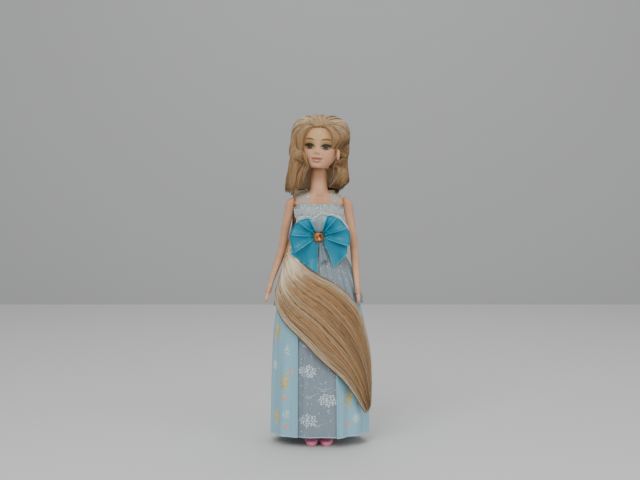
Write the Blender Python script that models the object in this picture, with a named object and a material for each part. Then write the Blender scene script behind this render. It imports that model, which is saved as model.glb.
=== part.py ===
"""Fashion doll in a long gown, built as the separate pieces that such a doll is made of.

Metres, +Z up. The doll looks along -Y, so its left hand is at +X.
The soles stand on z = 0, and x = y = 0 is under the middle of the body.
"""

import math

import bmesh
import bpy
from mathutils import Matrix, Vector

# Heights of the joints and of the ends of the body
NECK_BASE_Z = 0.2285
SHOULDER_Z = 0.2185
WAIST_Z = 0.1776
HIP_Z = 0.150
CROTCH_Z = 0.135

# Torso
TORSO_HALF_WIDTH = 0.0205
TORSO_FRONT = 0.0120
TORSO_BACK = 0.0110
TORSO_WALL = 0.0014
SHOULDER_FLAT_X = 0.0213
BUST_X = 0.0085
BUST_Z = 0.2035
BUST_SPREAD = 0.0062
BUST_OUT = 0.0055
TORSO_ROUNDNESS = 2.3
TORSO_STEPS = 16
TORSO_SHARES = [  # height, half width, front, back
    (0, 0.244, 0.25, 0.3),
    (0.043, 0.6, 0.7, 0.855),
    (0.118, 0.941, 0.983, 1.2),
    (0.182, 1, 1, 1.273),
    (0.267, 0.961, 0.933, 1.182),
    (0.374, 0.81, 0.842, 0.909),
    (0.46, 0.737, 0.8, 0.764),
    (0.588, 0.82, 0.917, 0.836),
    (0.66, 0.9, 0.94, 0.88),
    (0.694, 0.938, 0.95, 0.905),
    (0.727, 0.971, 0.95, 0.927),
    (0.75, 0.98, 0.93, 0.927),
    (0.778, 0.986, 0.9, 0.924),
    (0.813, 0.995, 0.858, 0.918),
    (0.855, 1.07, 0.78, 0.88),
    (0.893, 1.2, 0.7, 0.836),
    (0.939, 1.1, 0.62, 0.75),
    (0.967, 0.86, 0.59, 0.69),
    (0.984, 0.59, 0.58, 0.66),
    (1, 0.361, 0.58, 0.64),
]

# Neck: a post with a flange held inside the torso and a knob held inside the head
NECK_RADIUS = 0.0067
NECK_FLANGE_HALF_WIDTH = 0.0095
NECK_FLANGE_HALF_DEPTH = 0.0042
NECK_KNOB_RADIUS = 0.0086
NECK_TOP_Z = 0.2515
NECK_FLANGE_THICKNESS = 0.0016
NECK_FLANGE_DROP = 0.0052
NECK_KNOB_RISE = 0.0048
NECK_KNOB_HEIGHT = 0.0050
NECK_Y = 0

# Head, in its own frame with the face along -Y
CHIN_Z = 0.2500
HEAD_HEIGHT = 0.0425
HEAD_HALF_WIDTH = 0.0163
HEAD_FRONT = 0.0160
HEAD_BACK = 0.0170
HEAD_ROUNDNESS = 2.15
HEAD_WALL = 0.0020
HEAD_YAW = math.radians(-9)
HEAD_ROLL = math.radians(3.5)
HEAD_STEPS = 32
HEAD_TILT_SHARE = 0.03
HEAD_SHARES = [  # height above the chin, half width, front, back, from the neck opening up
    (0.061, 0.448, 0.44, 0.44),
    (0.014, 0.466, 0.6, 0.506),
    (0, 0.454, 0.775, 0.541),
    (0.014, 0.509, 0.875, 0.588),
    (0.061, 0.626, 0.931, 0.676),
    (0.118, 0.748, 0.95, 0.765),
    (0.179, 0.84, 0.956, 0.835),
    (0.247, 0.914, 0.95, 0.894),
    (0.318, 0.963, 0.938, 0.941),
    (0.388, 0.994, 0.925, 0.976),
    (0.466, 1, 0.931, 1),
    (0.553, 1, 0.969, 1),
    (0.647, 0.988, 0.988, 0.988),
    (0.741, 0.93, 0.945, 0.93),
    (0.835, 0.8, 0.82, 0.82),
    (0.913, 0.61, 0.63, 0.64),
    (0.969, 0.37, 0.38, 0.41),
    (0.993, 0.17, 0.17, 0.2),
]
FEATURE_SHARES = [  # side, height, spread sideways, spread upwards, outwards, as shares of the head's sizes
    (0, 0.325, 0.13, 0.045, 0.155),
    (0, 0.43, 0.09, 0.085, 0.075),
    (0.41, 0.47, 0.2, 0.05, -0.075),
    (-0.41, 0.47, 0.2, 0.05, -0.075),
    (0, 0.19, 0.26, 0.03, 0.05),
    (0, 0.135, 0.2, 0.018, -0.025),
    (0, 0.05, 0.26, 0.05, 0.05),
    (0.55, 0.3, 0.25, 0.07, 0.03),
    (-0.55, 0.3, 0.25, 0.07, 0.03),
]

# Hair on the head
HAIR_THICKNESS = 0.0030
HAIR_CROWN_THICKNESS = 0.0042
HAIR_SIDE_SWELL = 0.0055
SWELL_SHARES = [(0, 1), (0.6, 1), (0.75, 1.08), (0.87, 1.15), (0.94, 1), (0.969, 0.75), (0.993, 0.35), (1, 0.2)]
FACE_OPENING_HALF_WIDTH = 0.0148
FACE_OPENING_TOP_Z = 0.2895
FACE_OPENING_BACK_Y = -0.0015
CURTAIN_TOP_Z = 0.2585
CURTAIN_BOTTOM_Z = 0.2300
CURTAIN_THICKNESS = 0.0046
CURTAIN_FRONT_ANGLE = math.radians(24)
CURTAIN_RIGHT_FRONT_ANGLE = math.radians(40)
CURTAIN_SWAY_X = -0.0012
CURTAIN_BOTTOM_HALF_WIDTH = 0.0242
CURTAIN_BOTTOM_BACK = 0.0215
HAIR_GROOVE = 0.0005

# Arms: shoulder axis to fingertips, and the width of the upper arm
ARM_LENGTH = 0.0895
ARM_RADIUS = 0.0042
ARM_FLAT_X = 0.0217
PEG_RADIUS = 0.0026
PEG_LENGTH = 0.0023
PEG_FLANGE_RADIUS = 0.0037
PEG_FLANGE_THICKNESS = 0.0013
FINGER_LENGTH = 0.0098
FINGER_RADIUS = 0.00092
FINGER_PITCH = 0.00205
THUMB_LENGTH = 0.0070
LEFT_ARM_SHARES = [  # drop, outwards, forwards (-), half width, half depth
    (0, 0, 0, 1.048, 1.214),
    (0.061, 0.003, 0, 1, 1.167),
    (0.134, 0.015, 0, 0.976, 1.095),
    (0.279, 0.039, 0.004, 0.929, 1.048),
    (0.38, 0.054, 0.007, 0.905, 1),
    (0.464, 0.063, 0.009, 0.881, 0.952),
    (0.581, 0.073, -0.017, 0.905, 0.929),
    (0.693, 0.082, -0.073, 0.762, 0.786),
    (0.771, 0.088, -0.117, 0.619, 0.595),
    (0.816, 0.092, -0.14, 0.5, 0.738),
    (0.894, 0.098, -0.168, 0.452, 0.929),
]
RIGHT_ARM_SHARES = [  # drop, outwards to the hem's width, forwards (-), half width, half depth
    (0, 0, 0, 1.048, 1.214),
    (0.061, 0.026, 0, 1, 1.167),
    (0.134, 0.077, 0, 0.976, 1.095),
    (0.279, 0.18, 0.006, 0.929, 1.048),
    (0.38, 0.243, 0.01, 0.905, 1),
    (0.464, 0.295, 0.013, 0.881, 0.952),
    (0.581, 0.427, 0, 0.905, 0.929),
    (0.693, 0.575, -0.045, 0.762, 0.786),
    (0.771, 0.674, -0.078, 0.619, 0.595),
    (0.816, 0.726, -0.098, 0.5, 0.738),
    (0.894, 0.803, -0.127, 0.452, 0.929),
]
ARM_CAP_SHARES = [(0.94, 0.34, 0.7), (0.72, 0.69, 0.9), (0.4, 0.917, 0.98)]  # rise, depth, width

# Legs
HIP_X = 0.01275
HIP_RADIUS = 0.0122
HIP_GAP = 0.0008
HIP_PEG_RADIUS = 0.0026
HIP_PEG_LENGTH = 0.0038
HIP_BLOCK_HEIGHT = 0.0110
HIP_BLOCK_WALL_GAP = 0.0004
THIGH_SWEEP_BACK = math.radians(20)
LEG_SHARES = [  # drop from the hip axis, side, forwards (-), half width, half depth
    (0, 1, 0, 0.602, 1),
    (0.047, 0.988, 0, 0.59, 0.975),
    (0.093, 0.957, 0, 0.557, 0.918),
    (0.127, 0.91, 0, 0.6, 0.885),
    (0.16, 0.863, 0, 0.705, 0.844),
    (0.233, 0.8, 0, 0.705, 0.803),
    (0.333, 0.753, -0.025, 0.648, 0.738),
    (0.433, 0.706, -0.066, 0.574, 0.639),
    (0.48, 0.675, -0.082, 0.533, 0.598),
    (0.547, 0.643, 0, 0.5, 0.574),
    (0.633, 0.62, 0.098, 0.484, 0.59),
    (0.733, 0.58, 0.123, 0.393, 0.459),
    (0.813, 0.549, 0.098, 0.287, 0.344),
]
LEG_CAP_SHARES = [(0.97, 0.243, 0.8), (0.8, 0.6, 0.93), (0.45, 0.893, 0.99)]  # rise, depth, width
ANKLE_Z = 0.0210
FOOT_X = 0.0067
FOOT_SHARES = [  # forwards (-), height, tilt in degrees, half length, half width, as shares of the ankle's height
    (0.048, 1.024, 0, 0.238, 0.167),
    (-0.01, 0.743, 25, 0.267, 0.181),
    (-0.19, 0.486, 50, 0.2, 0.19),
    (-0.405, 0.252, 68, 0.143, 0.21),
    (-0.595, 0.171, 80, 0.119, 0.219),
    (-0.81, 0.148, 88, 0.09, 0.195),
    (-0.952, 0.119, 90, 0.057, 0.124),
]

# Shoes
SHOE_GAP = 0.0003
SHOE_WALL = 0.0011
SHOE_VAMP_Y = -0.0125
SHOE_TOPLINE_FRONT_Z = 0.0068
SHOE_TOPLINE_BACK_Z = 0.0190
HEEL_RADIUS = 0.0019
HEEL_TOP_RADIUS = 0.0034
HEEL_Y = 0.0035
HEEL_TOP_Z = 0.0122

# Gown
CLOTH = 0.0006
CLOTH_GAP = 0.00055
LAYER_GAP = 0.00035
BODICE_TOP_Z = 0.2066
LACE_TOP_Z = 0.2178
LACE_SIDE_DIP = 0.0068
HEM_Z = 0.0095
HEM_HALF_WIDTH = 0.0460
HEM_HALF_DEPTH = 0.0320
HEM_BACK_SHARE = 1.07
SKIRT_ROUNDNESS = 2.1
SKIRT_CLOTH = 0.0008
FOLD_COUNT = 11
FOLD_DEPTH_SHARE = 0.045
SKIRT_STEPS = 56
SKIRT_SHARES = [  # drop, half width, half depth
    (0, 0.352, 0.338),
    (0.033, 0.422, 0.444),
    (0.075, 0.513, 0.537),
    (0.164, 0.657, 0.669),
    (0.253, 0.765, 0.769),
    (0.402, 0.891, 0.875),
    (0.58, 0.94, 0.925),
    (0.79, 0.978, 0.968),
    (1, 1, 1),
]
PANEL_FIRST_STEP = 38
PANEL_LAST_STEP = 45
PANEL_CLOTH = 0.0005
STRAP_INNER_X = 0.0100
STRAP_OUTER_X = 0.0190
STRAP_CLOTH = 0.0004

# Bow
BOW_Z = 0.1895
BOW_REACH = 0.0258
BOW_HALF_HEIGHT = 0.0158
BOW_RIBBON = 0.0007
BOW_FOLD = 0.0007
BOW_KNOT_HALF_WIDTH = 0.0040
BOW_KNOT_HALF_HEIGHT = 0.0048
BOW_BACK_Y = -0.0146
BOW_DEPTH = 0.0054
BOW_LOOP_SHARES = [  # along the ribbon, outwards as a share of the reach, forwards as a share of the bow's depth
    (0, 0.18, 0.55),
    (0.2, 0.37, 1.4),
    (0.4, 0.66, 2.05),
    (0.58, 0.9, 2.0),
    (0.68, 1, 1.6),
    (0.78, 0.9, 1.3),
    (0.9, 0.6, 1.2),
    (1, 0.36, 1.12),
]
VEIL_Y = 0.0186
VEIL_CENTRE_Y = 0.0136
VEIL_HALF_WIDTH = 0.0252
VEIL_CLOTH = 0.0003
TAIL_GAP = 0.0007
GEM_SIZE = 0.0082
GEM_DEPTH = 0.0030
GEM_TURN = math.radians(12)
SETTING_THICKNESS = 0.0009
SETTING_BORDER = 0.0009
PRONG_RADIUS = 0.00055

RIGHT_TAIL_SHARES = [(-0.16, -0.3), (-0.01, -0.34), (-0.98, -0.56), (-0.1, -1.14)]  # top, then bottom, corners
LEFT_TAIL_SHARES = [(0.05, -0.34), (0.2, -0.28), (0.52, -1.08), (0.98, -0.66)]

# Back closure
CLOSURE_HALF_WIDTH = 0.0030
TAPE_THICKNESS = 0.0005

# Long hair, placed by the arm's and the hem's width, the hem's half depth and the waist's height
LONG_HAIR_THICKNESS = 0.0040
LONG_HAIR_ARM_SHARE = 2.12
LONG_HAIR_EDGE_SHARE = 0.12
LONG_HAIR_CLEARANCE = 0.0036
SPLIT_GAP = 0.0004
LONG_HAIR_SPLIT_ROW = 4
LONG_HAIR_SHARES = [  # upper edge x, y, z, lower edge x, y, z, then how far it lies on the skirt
    (-0.5, 0.35, 1.293, 0.4, 0.45, 1.293, 0),
    (-0.5, 0.4, 1.233, 0.26, 0.56, 1.188, 0),
    (-0.5, 0.43, 1.171, 0, 0.6, 1.092, 0),
    (-0.5, 0.42, 1.132, -0.32, 0.57, 1.025, 0),
    (-0.5, 0.375, 1.104, -0.565, 0.45, 0.98, 0),
    (-0.513, 0, 1.07, -0.648, 0.031, 0.935, 0),
    (-0.511, -0.406, 1.008, -0.761, -0.375, 0.833, 0),
    (-0.38, -0.656, 0.935, -0.848, -0.484, 0.755, 0.6),
    (-0.043, -0.781, 0.878, -0.696, -0.75, 0.653, 1),
    (0.359, -0.766, 0.822, -0.304, -1.031, 0.552, 1),
    (0.739, -0.531, 0.715, 0.065, -1.125, 0.45, 1),
    (0.902, -0.5, 0.591, 0.413, -1.094, 0.366, 1),
    (0.989, -0.375, 0.462, 0.652, -1, 0.282, 1),
    (1.011, -0.375, 0.327, 0.804, -0.875, 0.214, 1),
    (1, -0.438, 0.214, 0.891, -0.781, 0.175, 1),
]

SEAM_GAP = 0.0003
OVERRUN = 0.0050

# Colours: base colour, roughness, metallic
SKIN = ("skin_vinyl", (0.80, 0.55, 0.42), 0.55, 0)
HAIR = ("blonde_hair", (0.72, 0.52, 0.30), 0.45, 0)
SATIN = ("blue_satin", (0.36, 0.60, 0.70), 0.38, 0)
SHEER = ("sheer_organza", (0.75, 0.82, 0.86), 0.5, 0)
GREY_SHEER = ("grey_organza", (0.40, 0.50, 0.56), 0.5, 0)
LACE = ("silver_lace", (0.62, 0.68, 0.71), 0.35, 0.4)
GLITTER = ("glitter_cloth", (0.58, 0.70, 0.78), 0.45, 0.2)
RIBBON = ("turquoise_satin", (0.02, 0.30, 0.42), 0.32, 0)
GOLD = ("gold_plate", (0.80, 0.55, 0.20), 0.25, 1)
AMBER = ("amber_gem", (0.75, 0.27, 0.03), 0.08, 0)
PINK = ("pink_vinyl", (0.75, 0.05, 0.20), 0.25, 0)
TAPE = ("white_tape", (0.85, 0.85, 0.85), 0.8, 0)
NYLON = ("white_plastic", (0.80, 0.78, 0.74), 0.5, 0)


# Reading tables and placing points


def mix(a, b, share):
    return a + (b - a) * share


def ease(start, end, value):
    share = min(1, max(0, (value - start) / (end - start)))
    return share * share * (3 - 2 * share)


def read_table(rows, t):
    """The smooth curve through the rows of a table, read where the first column is t."""
    last = len(rows) - 1
    i = 0
    while i < last - 1 and rows[i + 1][0] < t:
        i += 1
    low, high = rows[i], rows[i + 1]
    span = high[0] - low[0]
    s = min(1, max(0, (t - low[0]) / span))

    def slope(k, column):
        before, after = rows[max(k - 1, 0)], rows[min(k + 1, last)]
        return (after[column] - before[column]) / (after[0] - before[0])

    values = []
    for column in range(1, len(low)):
        start = low[column] * (1 + 2 * s) * (1 - s) ** 2 + high[column] * s * s * (3 - 2 * s)
        bend = slope(i, column) * s * (1 - s) ** 2 - slope(i + 1, column) * s * s * (1 - s)
        values.append(start + bend * span)
    return values


def signed_power(value, power):
    return math.copysign(abs(value) ** power, value)


def oval_point(angle, half_width, front, back, roundness):
    """A point of a rounded outline: angle 0 is +X and a quarter turn is +Y, the back."""
    power = 2 / roundness
    depth = back if math.sin(angle) > 0 else front
    x = half_width * signed_power(math.cos(angle), power)
    y = depth * signed_power(math.sin(angle), power)
    return x, y


# Making nodes


def clear_scene():
    for old in list(bpy.data.objects):
        bpy.data.objects.remove(old, do_unlink=True)


def material(finish):
    name, colour, roughness, metallic = finish
    made = bpy.data.materials.get(name)
    if made:
        return made
    made = bpy.data.materials.new(name)
    made.use_nodes = True
    shader = made.node_tree.nodes["Principled BSDF"]
    shader.inputs["Base Color"].default_value = (*colour, 1)
    shader.inputs["Roughness"].default_value = roughness
    shader.inputs["Metallic"].default_value = metallic
    made.diffuse_color = (*colour, 1)
    return made


def add_node(name, bm, finish, origin=None, smooth=True):
    """Turns a closed bmesh into a named object whose origin is at the point given."""
    origin = origin or Vector()
    bmesh.ops.recalc_face_normals(bm, faces=bm.faces)
    bmesh.ops.translate(bm, verts=bm.verts, vec=-origin)
    mesh = bpy.data.meshes.new(name)
    bm.to_mesh(mesh)
    bm.free()
    for polygon in mesh.polygons:
        polygon.use_smooth = smooth
    mesh.materials.append(material(finish))
    made = bpy.data.objects.new(name, mesh)
    made.location = origin
    bpy.context.collection.objects.link(made)
    return made


def add_cutter(name, bm, finish):
    made = add_node(name, bm, finish)
    made.hide_render = True
    made.display_type = "WIRE"
    return made


def boolean(target, tool, operation, crossing=False):
    """Cuts or joins by another object; crossing is for a tool whose own parts run through each other."""
    made = target.modifiers.new(tool.name, "BOOLEAN")
    made.object = tool
    made.operation = operation
    made.solver = "EXACT"
    made.use_self = crossing


def add_tube(bm, rings):
    """Joins rings of points into a closed tube and fans its two ends."""
    loops = [[bm.verts.new(point) for point in ring] for ring in rings]
    count = len(loops[0])
    for below, above in zip(loops, loops[1:]):
        for i in range(count):
            j = (i + 1) % count
            bm.faces.new((below[i], below[j], above[j], above[i]))
    for ring, flip in ((loops[0], True), (loops[-1], False)):
        middle = bm.verts.new(sum((v.co for v in ring), Vector()) / count)
        for i in range(count):
            j = (i + 1) % count
            corner = (ring[j], ring[i], middle) if flip else (ring[i], ring[j], middle)
            bm.faces.new(corner)
    return bm


def grid_normals(grid, wrap):
    rows, columns = len(grid), len(grid[0])
    normals = []
    for i in range(rows):
        line = []
        for j in range(columns):
            up = grid[min(i + 1, rows - 1)][j] - grid[max(i - 1, 0)][j]
            if wrap:
                across = grid[i][(j + 1) % columns] - grid[i][j - 1]
            else:
                across = grid[i][min(j + 1, columns - 1)] - grid[i][max(j - 1, 0)]
            line.append(across.cross(up).normalized())
        normals.append(line)
    return normals


def sheet(grid, outwards, inwards, wrap=False, adjust=None, normals=None):
    """A closed layer round a grid of points: outwards and inwards are distances, or functions of row and column."""
    normals = normals or grid_normals(grid, wrap)
    bm = bmesh.new()
    layers = []
    for distance, sign in ((outwards, 1), (inwards, -1)):
        layer = []
        for i, line in enumerate(grid):
            row = []
            for j, point in enumerate(line):
                far = distance(i, j) if callable(distance) else distance
                place = point + normals[i][j] * far * sign
                row.append(bm.verts.new(adjust(place) if adjust else place))
            layer.append(row)
        layers.append(layer)
    outer, inner = layers
    rows, columns = len(grid), len(grid[0])
    span = columns if wrap else columns - 1
    for i in range(rows - 1):
        for j in range(span):
            k = (j + 1) % columns
            bm.faces.new((outer[i][j], outer[i][k], outer[i + 1][k], outer[i + 1][j]))
            bm.faces.new((inner[i][k], inner[i][j], inner[i + 1][j], inner[i + 1][k]))
    for i, flip in ((0, False), (rows - 1, True)):
        for j in range(span):
            k = (j + 1) % columns
            rim = (outer[i][k], outer[i][j], inner[i][j], inner[i][k])
            bm.faces.new(rim[::-1] if flip else rim)
    if not wrap:
        for j, flip in ((0, False), (columns - 1, True)):
            for i in range(rows - 1):
                rim = (outer[i][j], outer[i + 1][j], inner[i + 1][j], inner[i][j])
                bm.faces.new(rim[::-1] if flip else rim)
    return bm


def add_disc_stack(bm, centre, axis, profile, steps):
    """A turned piece: profile rows are a distance along the axis and a radius."""
    turn = axis.to_track_quat("Z", "Y").to_matrix()
    rings = []
    for along, radius in profile:
        ring = []
        for i in range(steps):
            angle = math.tau * i / steps
            local = Vector((radius * math.cos(angle), radius * math.sin(angle), along))
            ring.append(centre + turn @ local)
        rings.append(ring)
    return add_tube(bm, rings)


# Torso


def torso_height(z):
    return (z - CROTCH_Z) / (NECK_BASE_Z - CROTCH_Z)


def torso_sizes(z):
    width, front, back = read_table(TORSO_SHARES, torso_height(z))
    return width * TORSO_HALF_WIDTH, front * TORSO_FRONT, back * TORSO_BACK


def torso_point(angle, z):
    x, y = oval_point(angle, *torso_sizes(z), TORSO_ROUNDNESS)
    if y < 0:
        across = (abs(x) - BUST_X) / BUST_SPREAD
        up = (z - BUST_Z) / BUST_SPREAD
        y -= BUST_OUT * math.exp(-across * across - up * up) * ease(0, TORSO_FRONT / 2, -y)
    x = min(SHOULDER_FLAT_X, max(-SHOULDER_FLAT_X, x))
    return Vector((x, y, z))


def torso_half(name, front):
    start = math.pi if front else 0
    steps = TORSO_STEPS
    grid = []
    for share, *_ in TORSO_SHARES:
        z = mix(CROTCH_Z, NECK_BASE_Z, share)
        grid.append([torso_point(start + math.pi * j / steps, z) for j in range(steps + 1)])

    def behind_seam(point):
        side = -1 if front else 1
        point.y = side * max(SEAM_GAP / 2, side * point.y)
        return point

    made = add_node(name, sheet(grid, 0, TORSO_WALL, adjust=behind_seam), SKIN)
    return made


def hip_cutter(side):
    """The space that a leg turns in: its disc, and the thigh hanging, raised forwards and swung back."""
    radius = HIP_RADIUS + HIP_GAP
    reach = radius + 2 * OVERRUN
    arc_steps = 10
    outline = [(-reach, radius)]
    for i in range(arc_steps + 1):
        angle = mix(math.pi / 2, THIGH_SWEEP_BACK, i / arc_steps)
        outline.append((radius * math.cos(angle), radius * math.sin(angle)))
    tangent_y, tangent_z = outline[-1]
    swing = (math.sin(THIGH_SWEEP_BACK), -math.cos(THIGH_SWEEP_BACK))
    outline.append((tangent_y + swing[0] * reach, tangent_z + swing[1] * reach))
    outline.append((-reach, -reach))
    inner = leg_inner_x() - HIP_GAP / 2
    outer = TORSO_HALF_WIDTH + OVERRUN
    rings = [[Vector((side * x, y, HIP_Z + z)) for y, z in outline] for x in (inner, outer)]
    return add_tube(bmesh.new(), rings)


def leg_inner_x():
    _, side, _, half_width, _ = LEG_SHARES[0]
    return side * HIP_X - half_width * HIP_RADIUS


def make_torso():
    halves = [torso_half("torso_front", True), torso_half("torso_back", False)]
    holes = bmesh.new()
    reach = SHOULDER_FLAT_X + OVERRUN
    hole_radius = PEG_RADIUS + SEAM_GAP
    add_disc_stack(
        holes,
        Vector((0, 0, SHOULDER_Z)),
        Vector((1, 0, 0)),
        [(-reach, hole_radius), (reach, hole_radius)],
        20,
    )
    peg_holes = add_cutter("peg_holes", holes, SKIN)
    for side, name in ((-1, "right_hip_space"), (1, "left_hip_space")):
        space = add_cutter(name, hip_cutter(side), SKIN)
        for half in halves:
            boolean(half, space, "DIFFERENCE")
    for half in halves:
        boolean(half, peg_holes, "DIFFERENCE")


def make_hip_block():
    """The block held between the torso halves, which the hip pegs turn in."""
    half_width = leg_inner_x() - HIP_GAP - SEAM_GAP
    ends = [torso_sizes(HIP_Z + HIP_BLOCK_HEIGHT * share) for share in (-0.5, 0, 0.5)]
    front, back = (min(sizes[k] for sizes in ends) for k in (1, 2))
    near = TORSO_WALL * 1.15 + HIP_BLOCK_WALL_GAP
    bm = bmesh.new()
    bmesh.ops.create_cube(bm, size=1)
    depth = front + back - 2 * near
    size = Vector((2 * half_width, depth, HIP_BLOCK_HEIGHT))
    bmesh.ops.scale(bm, verts=bm.verts, vec=size)
    bmesh.ops.translate(bm, verts=bm.verts, vec=Vector((0, (back - front) / 2, HIP_Z)))
    bmesh.ops.bevel(bm, geom=bm.edges[:], offset=half_width / 6, segments=1, affect="EDGES")
    block = add_node("hip_block", bm, NYLON, smooth=False)
    bore = bmesh.new()
    reach = half_width + OVERRUN
    radius = HIP_PEG_RADIUS + SEAM_GAP
    centre = Vector((0, 0, HIP_Z))
    add_disc_stack(bore, centre, Vector((1, 0, 0)), [(-reach, radius), (reach, radius)], 20)
    boolean(block, add_cutter("hip_bore", bore, NYLON), "DIFFERENCE")


def make_neck():
    """The neck, with a wide foot trapped under the shoulders and a knob that the head snaps over."""
    base = NECK_BASE_Z - NECK_FLANGE_DROP
    flange_top = base + NECK_FLANGE_THICKNESS
    knob = NECK_TOP_Z + NECK_KNOB_RISE
    knob_top = knob + NECK_KNOB_HEIGHT
    rise = NECK_TOP_Z - NECK_BASE_Z
    stem = NECK_FLANGE_HALF_DEPTH
    foot = NECK_BASE_Z + SEAM_GAP
    waist = NECK_RADIUS * 0.94
    sections = [  # height, half width, half depth
        (base, NECK_FLANGE_HALF_WIDTH, stem),
        (flange_top, NECK_FLANGE_HALF_WIDTH, stem),
        (flange_top, stem, stem),
        (foot, stem, stem),
        (foot, NECK_RADIUS * 1.16, NECK_RADIUS * 1.1),
        (foot + rise * 0.06, NECK_RADIUS * 1.04, NECK_RADIUS * 1.02),
        (NECK_BASE_Z + rise / 3, waist, waist),
        (NECK_BASE_Z + rise * 2 / 3, waist, waist),
        (mix(NECK_TOP_Z, knob, 0.6), NECK_RADIUS, NECK_RADIUS),
        (knob, NECK_KNOB_RADIUS, NECK_KNOB_RADIUS),
        (mix(knob, knob_top, 0.5), NECK_KNOB_RADIUS * 0.96, NECK_KNOB_RADIUS * 0.96),
        (knob_top, NECK_KNOB_RADIUS * 0.55, NECK_KNOB_RADIUS * 0.55),
    ]
    rings = [flat_ring(Vector((0, NECK_Y, z)), wide, deep, 20, 2) for z, wide, deep in sections]
    add_node("neck_post", add_tube(bmesh.new(), rings), SKIN)


# Head and the hair that turns with it


def head_place(point, share=1):
    """Turns a point of the head's own frame to how the head is held: face a little to its right."""
    pivot = Vector((0, NECK_Y, NECK_TOP_Z))
    turn = Matrix.Rotation(HEAD_YAW * share, 3, "Z") @ Matrix.Rotation(HEAD_ROLL * share, 3, "Y")
    return pivot + turn @ (point - pivot)


def head_outline(share_row):
    height, width, front, back = share_row
    z = CHIN_Z + height * HEAD_HEIGHT
    return z, width * HEAD_HALF_WIDTH, front * HEAD_FRONT, back * HEAD_BACK


def features(x, z):
    """How far the face stands out or in at a place on it."""
    out = 0
    for side, height, spread_x, spread_z, depth in FEATURE_SHARES:
        across = (x / HEAD_HALF_WIDTH - side) / spread_x
        up = ((z - CHIN_Z) / HEAD_HEIGHT - height) / spread_z
        out += depth * HEAD_FRONT * math.exp(-across * across - up * up)
    return out


def head_ring(share_row, steps, with_face=True, out=0):
    z, width, front, back = head_outline(share_row)
    ring = []
    for i in range(steps):
        angle = math.tau * i / steps
        x, y = oval_point(angle, width + out, front + out, back + out, HEAD_ROUNDNESS)
        if with_face and y < 0:
            y -= features(x, z) * ease(0, HEAD_FRONT / 2, -y)
        ring.append(Vector((x, y + NECK_Y, z)))
    return ring


def make_head():
    rings = [head_ring(row, HEAD_STEPS, row[0] < 0.6) for row in HEAD_SHARES]
    top = Vector((0, NECK_Y, CHIN_Z + HEAD_HEIGHT))
    bm = add_tube(bmesh.new(), [[head_place(p) for p in ring] for ring in rings])
    bm.verts.ensure_lookup_table()
    bm.verts[-1].co = head_place(top)
    pivot = Vector((0, NECK_Y, NECK_TOP_Z))
    head = add_node("head_shell", bm, SKIN, origin=pivot)

    cavity_shares = (0.16, 0.26, 0.42, 0.6, 0.76, 0.88)
    inner = []
    opening = NECK_RADIUS + SEAM_GAP * 2
    for z in (CHIN_Z - OVERRUN, NECK_TOP_Z + NECK_KNOB_RISE / 2):
        inner.append(circle(opening, z, 20))
    for share in cavity_shares:
        width, front, back = read_table(HEAD_SHARES[3:], share)
        depth = min(front * HEAD_FRONT, back * HEAD_BACK) - HEAD_WALL
        radius = min(width * HEAD_HALF_WIDTH - HEAD_WALL, depth)
        inner.append(circle(radius * 0.9, CHIN_Z + share * HEAD_HEIGHT, 20))
    cavity = add_cutter("head_cavity", add_tube(bmesh.new(), inner), SKIN)
    boolean(head, cavity, "DIFFERENCE")
    return head


def circle(radius, z, steps):
    return [
        Vector(
            (
                radius * math.cos(math.tau * i / steps),
                NECK_Y + radius * math.sin(math.tau * i / steps),
                z,
            )
        )
        for i in range(steps)
    ]


def groove(share, count, depth):
    """The ridges of combed hair, across a share of its width."""
    return depth * math.cos(math.tau * share * count)


def hair_rings(out, low_share, lift):
    """Rings round the scalp, each grown by out(height share), with a pole over the crown."""
    rows = [(low_share, *read_table(HEAD_SHARES[3:], low_share))]
    rows += [row for row in HEAD_SHARES if row[0] > low_share + 0.01 and row[0] > HEAD_SHARES[6][0]]
    rings = []
    for row in rows:
        ring = head_ring(row, HEAD_STEPS, False, out(row[0], 0))
        for i, point in enumerate(ring):
            swell = out(row[0], i / HEAD_STEPS) - out(row[0], 0)
            middle = Vector((0, NECK_Y, point.z))
            point += (point - middle).normalized() * swell
            point.z += lift * ease(0.6, 1, row[0])
        rings.append([head_place(point) for point in ring])
    bm = add_tube(bmesh.new(), rings)
    bm.verts.ensure_lookup_table()
    bm.verts[-1].co = head_place(Vector((0, NECK_Y, CHIN_Z + HEAD_HEIGHT + lift)))
    return bm


def side_swell(angle):
    """How much fuller the hair is beside the face than in front and behind."""
    return HAIR_SIDE_SWELL * abs(math.cos(angle)) ** 1.5


def make_hair_cap():
    """Combed-back hair over the scalp, open round the face."""
    floor_z = CURTAIN_TOP_Z + SPLIT_GAP
    low = (floor_z - CHIN_Z) / HEAD_HEIGHT - HEAD_TILT_SHARE

    def outside(share, around):
        crown = mix(HAIR_THICKNESS, HAIR_CROWN_THICKNESS, ease(0.4, 0.9, share))
        full = side_swell(math.tau * around) * read_table(SWELL_SHARES, share)[0]
        return crown + full + groove(around, 12, HAIR_GROOVE)

    bm = hair_rings(outside, low, HAIR_CROWN_THICKNESS)
    for v in bm.verts:
        v.co.z = max(floor_z, v.co.z)
    cap = add_node("hair_cap", bm, HAIR, origin=Vector((0, NECK_Y, NECK_TOP_Z)))
    boolean(cap, add_cutter("face_opening", face_opening(), HAIR), "DIFFERENCE")
    scalp = hair_rings(lambda share, around: LAYER_GAP, low - HEAD_TILT_SHARE, LAYER_GAP)
    boolean(cap, add_cutter("scalp", scalp, HAIR), "DIFFERENCE")


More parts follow.
